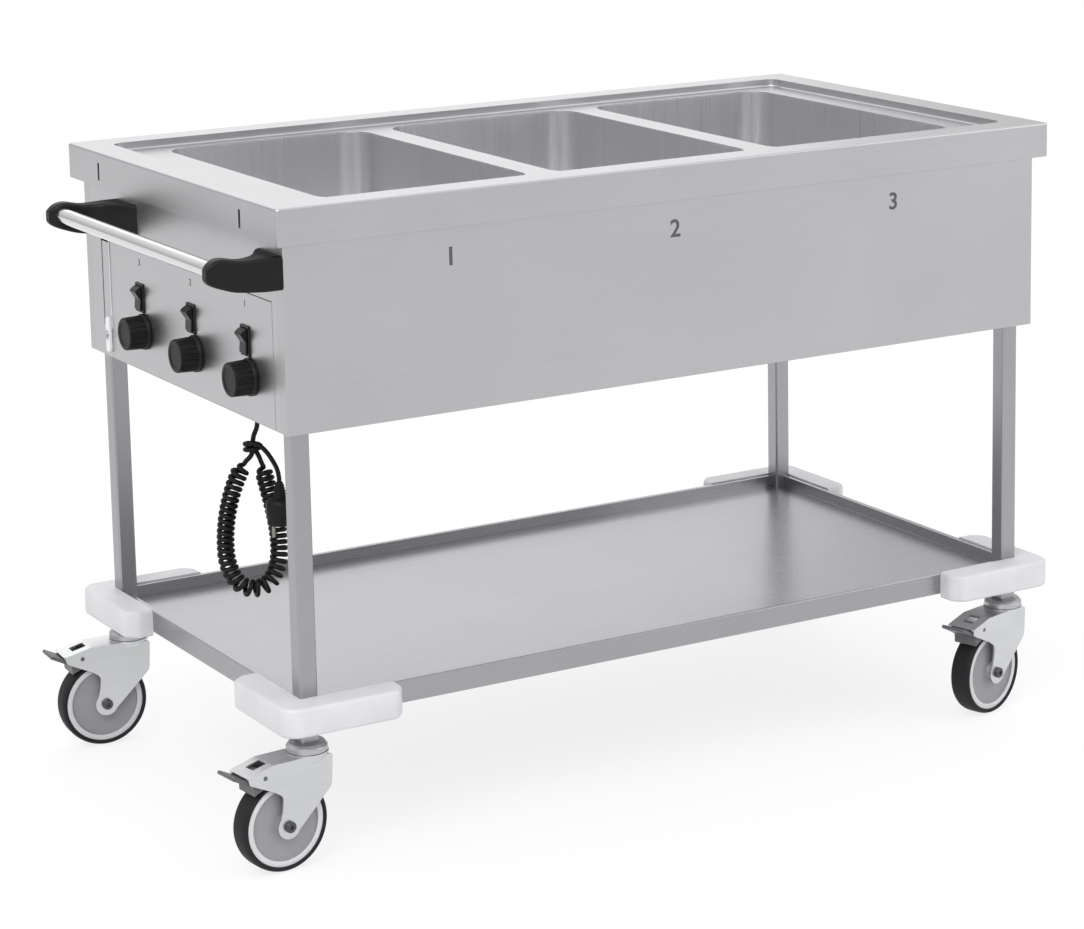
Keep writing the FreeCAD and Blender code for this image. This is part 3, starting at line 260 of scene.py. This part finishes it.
def moulded(name, colour, roughness, grain_mm, relief, gloss=0.5):
    """A moulded plastic or rubber with a fine spark-eroded grain."""
    material, tree, shader = new_material(name)
    place = add_node(tree, "TexCoord").outputs["Object"]
    fine = {"Vector": place, "Scale": 1000 / grain_mm, "Detail": 2.0}
    grain = add_node(tree, "TexNoise", fine).outputs["Fac"]
    slow = {"Vector": place, "Scale": PLASTIC_HAZE_PER_METRE, "Detail": 3.0}
    haze = add_node(tree, "TexNoise", slow).outputs["Fac"]
    tone = add_node(tree, "MapRange", {"Value": haze, "To Min": 0.9, "To Max": 1.1}).outputs[0]
    tint = add_node(tree, "HueSaturation", {"Color": srgb(colour), "Value": tone}).outputs[0]
    spread = {"Value": grain, "To Min": roughness - PLASTIC_GLOSS_RANGE,
              "To Max": roughness + PLASTIC_GLOSS_RANGE}
    rough = add_node(tree, "MapRange", spread).outputs[0]
    dimples = {"Height": grain, "Strength": relief, "Distance": GRAIN_DEPTH_MM * MM}
    bump = add_node(tree, "Bump", dimples).outputs[0]
    shader.inputs["Specular IOR Level"].default_value = gloss
    tree.links.new(tint, shader.inputs["Base Color"])
    tree.links.new(rough, shader.inputs["Roughness"])
    tree.links.new(bump, shader.inputs["Normal"])
    return material


black_nylon = moulded("black polyamide", "#0E0E0F", 0.46, 0.7, 0.3, gloss=0.25)
black_gloss = moulded("black switch plastic", "#101011", 0.3, 0.8, 0.1, gloss=0.3)
bumper_plastic = moulded("pale grey polyethylene", "#CDCDD0", 0.48, 1.2, 0.2)
wheel_plastic = moulded("grey polyamide", "#8E8E92", 0.45, 0.9, 0.2)
tyre_rubber = moulded("black tyre rubber", "#1C1C1E", 0.62, 0.9, 0.35, gloss=0.25)
lead_rubber = moulded("black rubber lead", "#0F0F10", 0.46, 0.6, 0.2, gloss=0.22)
pedal_paint = moulded("dark grey powder coat on steel", "#57575A", 0.4, 0.5, 0.2)
catch_nylon = moulded("pale polyamide", "#E2E2E4", 0.4, 0.7, 0.15)
pale_plastic = moulded("pale urea plastic", "#D8D2C2", 0.5, 0.8, 0.1)

FINISH = {"stainless_satin": steel_long, "stainless_tank": steel_tank_painted_bright, "stainless_tube": steel_upright,
          "polished_tube": chrome, "zinc_plate": zinc, "bolt_zinc": bolt, "tyre_rubber": tyre_rubber,
          "wheel_plastic": wheel_plastic, "bumper_plastic": bumper_plastic, "black_plastic": black_nylon,
          "switch_black": black_gloss, "thermostat_body": pale_plastic, "heater_sheath": bolt,
          "lead_rubber": lead_rubber, "plug_rubber": lead_rubber}
slot_of = {part["node"]: part["material_slot"] for part in frame["record"]["subparts"]}
for name, node in frame["nodes"].items():
    node.data.materials.clear()
    node.data.materials.append(FINISH[slot_of[name]])
for name in ("left_end_panel", "right_end_panel", "control_cover"):
    frame["nodes"][name].data.materials[0] = steel_across
frame["nodes"]["shelf_tray"].data.materials[0] = steel_fine
frame["nodes"]["turn_button"].data.materials[0] = catch_nylon
for name, node in frame["nodes"].items():
    if name.startswith("brake_pedal"):
        node.data.materials[0] = pedal_paint
    if name.startswith("axle"):
        node.data.materials[0] = dark_bolt
print("finished nodes", len(frame["nodes"]))

# %% [markdown]
# No pressed or moulded edge is perfectly sharp: a radius of a few tenths of a millimetre catches a thin line
# of light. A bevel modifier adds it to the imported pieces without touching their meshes. It needs joined
# triangles and whole flat faces, so a weld and a planar decimate go first, and weighted normals keep the flat
# faces flat afterwards. Only edges past an angle are rounded, so bends stay as they were modelled.

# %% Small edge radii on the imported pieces
EDGE_ANGLE = math.radians(32)
FLAT_ANGLE = math.radians(0.3)
JOIN_DISTANCE = 0.00001


def soften_edges(node, radius_mm):
    """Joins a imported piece's triangles, rounds its sharp edges and shades its bends smoothly."""
    node.data.shade_smooth()
    weld = node.modifiers.new("join triangles", "WELD")
    weld.merge_threshold = JOIN_DISTANCE
    flat = node.modifiers.new("one face to a plane", "DECIMATE")
    flat.decimate_type = "DISSOLVE"
    flat.angle_limit = FLAT_ANGLE
    bevel = node.modifiers.new("edge radius", "BEVEL")
    bevel.width = radius_mm * MM
    bevel.segments = 2
    bevel.limit_method = "ANGLE"
    bevel.angle_limit = EDGE_ANGLE
    weigh = node.modifiers.new("flat faces shade flat", "WEIGHTED_NORMAL")
    weigh.keep_sharp = True


EDGE_RADIUS_MM = {"top_deck": 0.4, "front_panel": 0.4, "back_panel": 0.4, "left_end_panel": 0.35,
                  "right_end_panel": 0.35, "control_cover": 0.5, "bottom_pan": 0.3, "shelf_tray": 0.4,
                  "shelf_stiffeners": 0.4, "well_tank": 0.3, "well_heaters": 0.2, "legs": 0.35,
                  "body_rails": 0.35, "handle_tube": 0.3, "handle_bracket": 0.8, "knob": 0.35,
                  "switch_frames": 0.35, "rocker": 0.5, "thermostats": 0.4, "turn_button": 0.35,
                  "castor_heads": 0.5, "bumper": 0.8, "fork": 0.6, "axle": 0.4, "brake_pedal": 0.6}
for name, node in frame["nodes"].items():
    family = [start for start in EDGE_RADIUS_MM if name.startswith(start)]
    if family:
        soften_edges(node, EDGE_RADIUS_MM[max(family, key=len)])
print("softened", sum(1 for node in frame["nodes"].values() if node.modifiers))

# %% [markdown]
# The mains lead is one moulded cable: a short straight tail out of the gland, a long curled stretch that is
# hung up in a loop, and a straight end that is wound round the tail before it goes to the plug. It is a NURBS
# curve from end to end. First comes the line that the middle of the curls follows, from points given in
# the upright plane of the loop: along it, out of it, and up, from the gland's mouth.

# %% Route of the lead
CORD_EXIT = Vector((-493, -116, 542.5)) * MM
PLANE_TURN = math.radians(30)
TAIL_ROUTE = [(0, 0, 0), (0, 0, -8.5), (-7, 0, -21.5), (-7, 0, -44.5)]
LOOP_ROUTE = [(-17, -2.5, -53.5), (-25, -5.75, -65.2), (-39, -8, -102.5), (-47, -6, -147.5),
              (-46.5, -3, -194.5), (-28, -1, -226), (5, 1, -226), (22.5, 3, -194.5), (22.5, 5, -154.5),
              (15.5, 8, -114.5), (7, 8, -79.5), (3, 7, -58.5)]
LEAD_START = [(0.5, 6.6, -50.4), (-3.5, 7.5, -42.5)]
LEAD_END = [(-2.5, -9.5, -27.7), (9, -13, -34.5), (19, -18, -47.5), (28, -24, -63.5), (28, -24, -76.5)]
ROUTE_FINENESS = 40


def cord_place(along, depth, height):
    """A point given in millimetres in the upright plane that the loop hangs in."""
    x = along * math.cos(PLANE_TURN) + depth * math.sin(PLANE_TURN)
    y = depth * math.cos(PLANE_TURN) - along * math.sin(PLANE_TURN)
    return CORD_EXIT + Vector((x, y, height)) * MM


def nurbs_curve(name, points):
    """One open NURBS spline with the points given as its control points."""
    curve = bpy.data.curves.new(name, "CURVE")
    curve.dimensions = "3D"
    spline = curve.splines.new("NURBS")
    spline.points.add(len(points) - 1)
    for control, point in zip(spline.points, points):
        control.co = (*point, 1.0)
    spline.order_u = 3
    spline.use_endpoint_u = True
    return bpy.data.objects.new(name, curve)


route = nurbs_curve("loop route", [cord_place(*point) for point in LOOP_ROUTE])
route.data.resolution_u = ROUTE_FINENESS
line = bpy.data.meshes.new_from_object(route)
middle_line = [vertex.co.copy() for vertex in line.vertices]
runs = [0.0]
for before, after in zip(middle_line, middle_line[1:]):
    runs.append(runs[-1] + (after - before).length)
print("loop route", len(middle_line), "points", round(runs[-1], 4), "m")

# %% [markdown]
# The curls are a helix round that line. Where the line bends, turns lie closer on the inside, so they are
# spaced wider there, and at both ends the helix opens out and narrows to the line, as a curled lead does next
# to its straight ends.

# %% Curls
LEAD_DIAMETER_MM = 6.4
CURL_RADIUS_MM = 9.6
CURL_GAP_MM = 0.9
CURL_TURNS = 43.75
POINTS_PER_TURN = 14
STRAIGHT_END_MM = 2
RAMP_MM = 13
RAMP_STRETCH = 1.6
depth_way = (cord_place(0, 1, 0) - cord_place(0, 0, 0)).normalized()


def smooth_share(share):
    """A share from 0 to 1 that starts and ends gently."""
    return share * share * (3 - 2 * share)


stations = []
turned_so_far = 0.0
for k in range(1, len(middle_line) - 1):
    step = runs[k + 1] - runs[k]
    way = (middle_line[k + 1] - middle_line[k - 1]).normalized()
    bend = (middle_line[k + 1] - middle_line[k]).angle(middle_line[k] - middle_line[k - 1]) / step
    free_end = min(runs[k], runs[-1] - runs[k]) / MM - STRAIGHT_END_MM
    share = max(0.0, min(1.0, free_end / RAMP_MM))
    stations.append((turned_so_far, middle_line[k], way, share))
    if free_end > 0:
        slack = (1 + (RAMP_STRETCH - 1) * (1 - share)) / (1 - CURL_RADIUS_MM * MM * bend)
        turned_so_far += step / ((LEAD_DIAMETER_MM + CURL_GAP_MM) * MM * slack)
natural_turns = turned_so_far
curl_points = []
wanted = 1
for at, centre, way, share in stations:
    turn = at * CURL_TURNS / natural_turns
    if turn * POINTS_PER_TURN >= wanted and turn < CURL_TURNS:
        inward = way.cross(depth_way).normalized()
        angle = 2 * math.pi * turn
        radial = inward * math.cos(angle) + inward.cross(way) * math.sin(angle)
        curl_points.append(centre + radial * CURL_RADIUS_MM * MM * smooth_share(share))
        wanted += 1
print("curls", round(natural_turns, 2), "natural turns,", len(curl_points), "points")

# %% [markdown]
# The straight end goes one and a half times round the tail. Twelve points to a turn keep a turn round. Then
# all the points join up to one spline, without those that crowd where the curls narrow, and a round bevel
# thickens it to the cable.

# %% The whole lead
WRAP_RADIUS_MM = 10.5
WRAP_PITCH_MM = 7.5
WRAP_FOOT_MM = -40.5
WRAP_POINTS_PER_TURN = 12
WRAP_POINTS = range(2, 19)
WRAP_START_TURN = 1 / 6
LEAST_SPACING_MM = 3
tail_along = TAIL_ROUTE[-1][0]
wrap = []
for k in WRAP_POINTS:
    angle = 2 * math.pi * (k / WRAP_POINTS_PER_TURN + WRAP_START_TURN)
    wrap.append((tail_along + WRAP_RADIUS_MM * math.cos(angle), WRAP_RADIUS_MM * math.sin(angle),
                 WRAP_PITCH_MM * k / WRAP_POINTS_PER_TURN + WRAP_FOOT_MM))
lead_points = [cord_place(*point) for point in TAIL_ROUTE + LOOP_ROUTE[:1]] + curl_points
lead_points += [cord_place(*point) for point in LOOP_ROUTE[-1:] + LEAD_START + wrap + LEAD_END]
spaced = lead_points[:1]
for point in lead_points[1:]:
    if (point - spaced[-1]).length > LEAST_SPACING_MM * MM:
        spaced.append(point)
lead = nurbs_curve("mains_lead", spaced)
bpy.context.scene.collection.objects.link(lead)
lead.data.resolution_u = 4
lead.data.bevel_depth = LEAD_DIAMETER_MM / 2 * MM
lead.data.bevel_resolution = 3
lead.data.use_fill_caps = True
lead.data.materials.append(lead_rubber)
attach(lead, "trolley")
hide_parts("cord_tail", "cord_curls", "cord_lead")
print("lead control points", len(spaced))

# %% [markdown]
# Turned and moulded round pieces come from one drawn half section that is spun round its axis. The drawn
# corners are rounded with a bevel, the faces are turned outwards, and edges that stay sharp are marked, so
# that the rest can be shaded smoothly.

# %% Helpers for modelled pieces
ROUND_STEPS = 64
SHARP_ANGLE = math.radians(38)
JOIN_MM = 0.0005


def spun(half_section, steps=ROUND_STEPS):
    """A closed turned shape from (radius, height) points in millimetres.

    The section starts and ends on the axis, or comes back to its first point.
    """
    shape = bmesh.new()
    verts = [shape.verts.new((radius, 0, height)) for radius, height in half_section]
    edges = [shape.edges.new(pair) for pair in zip(verts, verts[1:])]
    bmesh.ops.spin(shape, geom=verts + edges, cent=(0, 0, 0), axis=(0, 0, 1), dvec=(0, 0, 0),
                   angle=2 * math.pi, steps=steps, use_merge=True, use_normal_flip=False,
                   use_duplicate=False)
    bmesh.ops.remove_doubles(shape, verts=shape.verts, dist=JOIN_MM)
    bmesh.ops.recalc_face_normals(shape, faces=shape.faces)
    return shape


def round_edges(shape, edges, radius_mm, segments):
    """Rounds the given edges of a shape."""
    bmesh.ops.bevel(shape, geom=edges, offset=radius_mm, offset_type="OFFSET", segments=segments,
                    profile=0.5, affect="EDGES", material=-1, clamp_overlap=True)


def round_corners(shape, radius_mm, angle=SHARP_ANGLE):
    """Rounds every edge of a shape that is sharper than an angle, with two faces to the round."""
    sharp = [edge for edge in shape.edges if len(edge.link_faces) == 2 and edge.calc_face_angle() > angle]
    round_edges(shape, sharp, radius_mm, 2)


def make_piece(name, shape, materials, body, place, stands_for=()):
    """Scales a shape from millimetres, puts it in place, and makes it a piece that rides on a body."""
    bmesh.ops.transform(shape, matrix=place @ Matrix.Diagonal((MM, MM, MM, 1)), verts=shape.verts)
    if place.determinant() < 0:
        bmesh.ops.reverse_faces(shape, faces=shape.faces)
    for face in shape.faces:
        face.smooth = True
    for edge in shape.edges:
        edge.smooth = len(edge.link_faces) == 2 and edge.calc_face_angle() < SHARP_ANGLE
    mesh = bpy.data.meshes.new(name)
    shape.to_mesh(mesh)
    shape.free()
    for material in materials:
        mesh.materials.append(material)
    piece = bpy.data.objects.new(name, mesh)
    bpy.context.scene.collection.objects.link(piece)
    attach(piece, body)
    if stands_for:
        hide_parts(*stands_for)
    return piece


def add_shape(target, extra, place, material_index):
    """Puts a second shape into the first, as one mesh with a material of its own."""
    bmesh.ops.transform(extra, matrix=place, verts=extra.verts)
    for face in extra.faces:
        face.material_index = material_index
    part = bpy.data.meshes.new("part")
    extra.to_mesh(part)
    extra.free()
    target.from_mesh(part)
    bpy.data.meshes.remove(part)


print("helpers ready, round pieces have", ROUND_STEPS, "steps")

# %% [markdown]
# The gland holds the lead in the bottom pan. It is a moulded nut with a tapered, ribbed sleeve that stops the
# lead from being bent sharply where it leaves. The sleeve's ribs come from a row of steps in the half
# section, drawn from the mouth upwards.

# %% Gland and strain relief
SLEEVE_MM = 23
SLEEVE_RIBS = 5
SLEEVE_MOUTH_MM = 4.4
SLEEVE_FLARE_MM = 3.0
sleeve = [(0, 0), (3.9, 0), (SLEEVE_MOUTH_MM, 1)]
for k in range(SLEEVE_RIBS):
    low_end = 2.5 + k * (SLEEVE_MM - 4) / SLEEVE_RIBS
    radius = SLEEVE_MOUTH_MM + (k + 0.5) * SLEEVE_FLARE_MM / SLEEVE_RIBS
    sleeve += [(radius - 0.7, low_end), (radius + 0.1, low_end + 0.5), (radius + 0.3, low_end + 2.4),
               (radius - 0.5, low_end + 2.9)]
nut = [(7.4, SLEEVE_MM), (11.0, SLEEVE_MM), (12.0, SLEEVE_MM + 2), (12.0, 32.0), (8.0, 32.0)]
flange = [(8.0, 33.5), (13.0, 33.5), (13.0, 37.5), (8.0, 37.5), (8.0, 39.5), (0, 39.5)]
gland_shape = spun(sleeve + nut + flange, 48)
round_corners(gland_shape, 0.25)
gland = make_piece("cord_gland_moulded", gland_shape, [black_nylon], "trolley",
                   Matrix.Translation(CORD_EXIT), ("cord_gland",))
print("gland faces", len(gland.data.polygons))

# %% [markdown]
# The plug is moulded on the lead: a ribbed neck, a wide body to grip, a face and two round pins. It is drawn
# from the neck down. The grip has shallow scallops, made by pulling the body's wall in at regular places.

# %% Plug
NECK_RIBS = 4
NECK_RIB_MM = 3.6
NECK_WIDENS_MM = 0.7
PLUG_MM = 56.0
GRIP_FROM_MM, GRIP_TO_MM = -44.5, -24.0
GRIP_LEAST_RADIUS_MM = 15
SCALLOPS = 10
SCALLOP_DEPTH_MM = 0.6
PIN_SIDE_MM = 9.5
plug_section = [(0, 0), (4.4, 0), (5.0, -2)]
for k in range(NECK_RIBS):
    wider, lower = NECK_WIDENS_MM * k, NECK_RIB_MM * k
    plug_section += [(5.2 + wider, -3.4 - lower), (6.2 + wider, -3.9 - lower), (6.3 + wider, -5.6 - lower),
                     (5.5 + wider, -6.2 - lower)]
plug_section += [(9.0, -18.8), (15.0, -22.0), (18.4, -26.0), (19.0, -31.0), (19.0, -37.0), (19.0, -43.5),
                 (17.6, -45.0), (17.5, -47.5), (17.5, -PLUG_MM), (0, -PLUG_MM)]
plug_shape = spun(plug_section)
for vert in plug_shape.verts:
    around = math.atan2(vert.co.y, vert.co.x)
    if GRIP_FROM_MM < vert.co.z < GRIP_TO_MM and vert.co.to_2d().length > GRIP_LEAST_RADIUS_MM:
        pull = SCALLOP_DEPTH_MM * (0.5 - 0.5 * math.cos(SCALLOPS * around))
        vert.co.xy *= 1 - pull / vert.co.to_2d().length
round_corners(plug_shape, 0.4)
for side in (-PIN_SIDE_MM, PIN_SIDE_MM):
    pin = spun([(0, 1.5), (2.4, 1.5), (2.4, -17.2), (1.9, -18.6), (0.9, -19.0), (0, -19.0)], 20)
    pin_place = (side * math.cos(PLANE_TURN), -side * math.sin(PLANE_TURN), -PLUG_MM)
    add_shape(plug_shape, pin, Matrix.Translation(pin_place), material_index=1)
pin_brass = satin_steel("nickel-plated brass pins", "#8F8C84", 0.22, 2, line_mm=4, relief=0.05)
plug = make_piece("plug_moulded", plug_shape, [lead_rubber, pin_brass], "trolley",
                  Matrix.Translation(cord_place(*LEAD_END[-1])), ("plug",))
print("plug faces", len(plug.data.polygons))

# %% [markdown]
# A castor wheel is a grey moulded centre with a thick pale rim and a black rubber tyre round it. Both are
# half sections, from the middle plane outwards and from the axle to the tread, that are mirrored and spun
# round the axle. The rim is paler than the disc, so its faces get a second material.

# %% Wheels and tyres
wheel_rim = moulded("pale grey polyamide rim", "#C9C9CC", 0.4, 0.9, 0.15)
RIM_INNER_MM = 48.0
WHEEL_HALF = [(4.3, 19.7), (6.8, 19.7), (7.4, 18.6), (10.6, 18.6), (11.2, 19.6), (13.0, 19.6),
              (14.6, 12.6), (18.0, 12.0), (30.0, 11.4), (45.2, 10.6), (46.8, 11.0), (48.0, 13.6),
              (49.2, 14.2), (52.5, 14.4), (54.6, 14.0), (56.2, 13.2)]
TYRE_HALF = [(54.8, 13.0), (56.0, 14.2), (56.9, 15.1), (57.8, 15.5), (59.8, 15.8), (61.2, 13.8),
             (62.1, 11.0), (62.5, 7.0), (62.5, 0.0)]
PLACES = ("front_left", "front_right", "back_left", "back_right")


def mirrored_section(half):
    """The whole section from its upper half, with the ends brought to one closed run."""
    lower = [(radius, -height) for radius, height in reversed(half) if height > 0]
    return half + lower + half[:1]


def roller_place(place):
    """The frame of a wheel: its axis along z, its middle at the axle."""
    joint = joints["roll_" + place]
    turned = Vector(joint["axis"]).to_track_quat("Z", "Y").to_matrix().to_4x4()
    return Matrix.Translation(joint["pos_m"]) @ turned


for place in PLACES:
    wheel_shape = spun(mirrored_section(WHEEL_HALF), 72)
    for face in wheel_shape.faces:
        face.material_index = int(face.calc_center_median().to_2d().length > RIM_INNER_MM)
    round_corners(wheel_shape, 0.35, angle=math.radians(30))
    make_piece("wheel_moulded_" + place, wheel_shape, [wheel_plastic, wheel_rim], "roller_" + place,
               roller_place(place), ("wheel_" + place,))
    tyre_shape = spun(mirrored_section(TYRE_HALF), 96)
    make_piece("tyre_moulded_" + place, tyre_shape, [tyre_rubber], "roller_" + place,
               roller_place(place), ("tyre_" + place,))
print("rollers", len(PLACES))

# %% [markdown]
# A corner buffer is one soft moulding, open below, with thin walls. Its plan is drawn once from three faces,
# the nose and two arms, and pulled up to its height. It is rounded in three passes: the nose, the arms' ends
# and the rims. Then its underside is hollowed. The three other corners get it mirrored.

# %% Corner buffers
BUFFER_ARM_MM = 135
BUFFER_REACH_MM = 38
BUFFER_HEIGHT_MM = 39
BUFFER_NOSE_MM = 24
BUFFER_SLANT_MM = 14
BUFFER_END_MM = BUFFER_REACH_MM * 0.55
BUFFER_END_RADIUS_MM = 6
BUFFER_RIM_MM = 5
BUFFER_WALL_MM = 5
BUFFER_ROOF_MM = 5
NEAR_MM = 0.01


def edges_where(shape, test):
    """The edges of a shape whose two ends both pass a test."""
    return [edge for edge in shape.edges if all(test(vert.co) for vert in edge.verts)]


def pushed_up(shape, faces, height):
    """Extrudes faces and moves the new ones up by a height."""
    raised = bmesh.ops.extrude_face_region(shape, geom=faces)["geom"]
    upper = [item for item in raised if isinstance(item, bmesh.types.BMVert)]
    bmesh.ops.translate(shape, vec=(0, 0, height), verts=upper)


def on_outer_rim(edge):
    """Whether an edge follows the outside: not the frame's side, and not a seam of the three faces."""
    reaches_out = min(min(vert.co.xy) for vert in edge.verts) < -NEAR_MM
    return reaches_out and all(vert.co.xy.length > NEAR_MM for vert in edge.verts)


def buffer_shape():
    """One buffer in millimetres, with the frame's corner at the origin and its arms along x and y."""
    arm, reach, height, end = BUFFER_ARM_MM, BUFFER_REACH_MM, BUFFER_HEIGHT_MM, BUFFER_END_MM
    slant = arm - BUFFER_SLANT_MM
    nose = [(0, 0), (-reach, 0), (-reach, -reach), (0, -reach)]
    front_arm = [(0, 0), (0, -reach), (slant, -reach), (arm, -end), (arm, 0)]
    side_arm = [(0, 0), (0, arm), (-end, arm), (-reach, slant), (-reach, 0)]
    shape = bmesh.new()
    for plan in (nose, front_arm, side_arm):
        shape.faces.new([shape.verts.new((x, y, 0)) for x, y in plan])
    bmesh.ops.remove_doubles(shape, verts=shape.verts, dist=NEAR_MM)
    pushed_up(shape, list(shape.faces), height)
    bmesh.ops.recalc_face_normals(shape, faces=shape.faces)
    round_edges(shape, edges_where(shape, lambda p: p.x == p.y == -reach), BUFFER_NOSE_MM, 10)
    for x, y in ((slant, -reach), (-reach, slant), (arm, -end), (-end, arm)):
        upright = edges_where(shape, lambda p: abs(p.x - x) < NEAR_MM and abs(p.y - y) < NEAR_MM)
        round_edges(shape, upright, BUFFER_END_RADIUS_MM, 4)
    level = [edge for z in (0, height) for edge in edges_where(shape, lambda p: abs(p.z - z) < NEAR_MM)]
    round_edges(shape, [edge for edge in level if on_outer_rim(edge)], BUFFER_RIM_MM, 4)
    shape.normal_update()
    under = [face for face in shape.faces if face.normal.z < -0.99]
    bmesh.ops.inset_region(shape, faces=under, thickness=BUFFER_WALL_MM, depth=0, use_even_offset=True)
    pushed_up(shape, under, height - BUFFER_ROOF_MM)
    return shape


for place in PLACES:
    side_x = -1 if "right" in place else 1
    side_y = -1 if "back" in place else 1
    low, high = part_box("bumper_" + place)
    corner_x = low.x + BUFFER_REACH_MM * MM if side_x > 0 else high.x - BUFFER_REACH_MM * MM
    corner_y = low.y + BUFFER_REACH_MM * MM if side_y > 0 else high.y - BUFFER_REACH_MM * MM
    mirrored = Matrix.Diagonal((side_x, side_y, 1, 1))
    buffer = make_piece("buffer_" + place, buffer_shape(), [bumper_plastic], "trolley",
                        Matrix.Translation((corner_x, corner_y, low.z)) @ mirrored, ("bumper_" + place,))
print("buffer faces", len(buffer.data.polygons))

# %% [markdown]
# The cover's back edge is hemmed: the sheet is folded over on itself, which leaves a rounded edge. The hem
# gets brighter, glossier steel than the cover, a painted highlight along the fold. Beside it, a dark bar in the
# end panel's seam is painted shade, standing for the shadow in the gap. Both are slim bars with all their
# edges rounded, and both stop above the turn button, so that it can swing.

# %% Hem and painted seam shade
# Painted shade: a dark grey bar stands for the shadow in the gap of the end panel's seam.
seam_shade_paint = moulded("dark grey paint for the seam's shade", "#3A3A3C", 0.5, 0.6, 0.1)
END_FACE_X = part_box("left_end_panel")[0].x
COVER_BACK_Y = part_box("control_cover")[1].y
COVER_TOP_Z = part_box("control_cover")[1].z
BAR_FOOT_Z = joints["turn_button_swing"]["pos_m"][2] + 0.010
BAR_SUNK_MM = 0.4
HEM_MM = 2.6
HEM_PROUD_MM = 1.0
HEM_FROM_EDGE_MM = 1.2
SEAM_SHADE_MM = 1.5
SEAM_SHADE_PROUD_MM = 0.35
SEAM_SHADE_FROM_EDGE_MM = 25.5
SEAM_SHADE_OVER_TOP_MM = 1


def slim_bar(name, material, y, width_mm, proud_mm, high_z):
    """An upright bar that stands a little proud of the control end, down to just above the turn button."""
    shape = bmesh.new()
    bmesh.ops.create_cube(shape, size=1.0)
    size = (proud_mm + BAR_SUNK_MM, width_mm, (high_z - BAR_FOOT_Z) / MM)
    bmesh.ops.scale(shape, vec=size, verts=shape.verts)
    round_edges(shape, list(shape.edges), min(proud_mm, width_mm) * 0.45, 3)
    middle = (END_FACE_X + (BAR_SUNK_MM - proud_mm) / 2 * MM, y, (BAR_FOOT_Z + high_z) / 2)
    return make_piece(name, shape, [material], "trolley", Matrix.Translation(middle))


# The hem's steel is brighter and glossier than the cover's: a painted highlight along a real folded edge.
slim_bar("cover_hem", chrome, COVER_BACK_Y - HEM_FROM_EDGE_MM * MM, HEM_MM, HEM_PROUD_MM, COVER_TOP_Z)
slim_bar("panel_seam_shade", seam_shade_paint, COVER_BACK_Y + SEAM_SHADE_FROM_EDGE_MM * MM, SEAM_SHADE_MM, SEAM_SHADE_PROUD_MM,
         COVER_TOP_Z + SEAM_SHADE_OVER_TOP_MM * MM)
print("hem at", round(COVER_BACK_Y, 4), "top", round(COVER_TOP_Z, 4))

# %% [markdown]
# Each well has its number on the front panel and a small one over its switch. The numbers are cut from dark
# film, a fifth of a millimetre thick. A text object gives their shape; it is made a mesh before it is put in
# place.

# %% Numbers
BOLDNESS = 0.018
FILM_MM = 0.2
FRONT_DIGIT_MM = 24
SWITCH_DIGIT_MM = 9
number_film = moulded("dark grey vinyl film", "#4A4A4E", 0.42, 0.5, 0.05)


def number_piece(name, digit, height_mm, place):
    """A flat digit of a given height, its middle at the origin of place and its face along place's z."""
    text = bpy.data.curves.new(name, "FONT")
    text.body = str(digit)
    text.size = 1.0
    text.offset = BOLDNESS
    carrier = bpy.data.objects.new(name, text)
    shape = bmesh.new()
    shape.from_mesh(bpy.data.meshes.new_from_object(carrier))
    bpy.data.objects.remove(carrier)
    lows = [min(vert.co[i] for vert in shape.verts) for i in (0, 1)]
    highs = [max(vert.co[i] for vert in shape.verts) for i in (0, 1)]
    size = height_mm / (highs[1] - lows[1])
    centre = Vector(((lows[0] + highs[0]) / 2, (lows[1] + highs[1]) / 2, 0))
    bmesh.ops.transform(shape, matrix=Matrix.Scale(size, 4) @ Matrix.Translation(-centre), verts=shape.verts)
    pushed_up(shape, list(shape.faces), FILM_MM)
    bmesh.ops.recalc_face_normals(shape, faces=shape.faces)
    return make_piece(name, shape, [number_film], "trolley", place)


FRONT_FACE_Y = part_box("front_panel")[0].y
FRONT_NUMBER_X = (-0.317, 0.019, 0.373)
FRONT_NUMBER_Z = 0.775
upright_front = Matrix.Rotation(math.pi / 2, 4, "X")
for digit, x in enumerate(FRONT_NUMBER_X, 1):
    place = Matrix.Translation((x, FRONT_FACE_Y, FRONT_NUMBER_Z)) @ upright_front
    number_piece("front_number_%d" % digit, digit, FRONT_DIGIT_MM, place)
COVER_FACE_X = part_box("control_cover")[0].x
SMALL_NUMBER_Z = 0.723
upright_left = Matrix.Rotation(-math.pi / 2, 4, "Z") @ upright_front
for digit in (1, 2, 3):
    y = joints["rocker_swing_%d" % digit]["pos_m"][1]
    place = Matrix.Translation((COVER_FACE_X, y, SMALL_NUMBER_Z)) @ upright_left
    number_piece("switch_number_%d" % digit, digit, SWITCH_DIGIT_MM, place)
print("numbers on", round(FRONT_FACE_Y, 4), round(COVER_FACE_X, 4))

# %% Close
bpy.context.scene.view_settings.view_transform = "Standard"
low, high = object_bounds()
print("visual", [round(v, 3) for v in (*low, *high)])
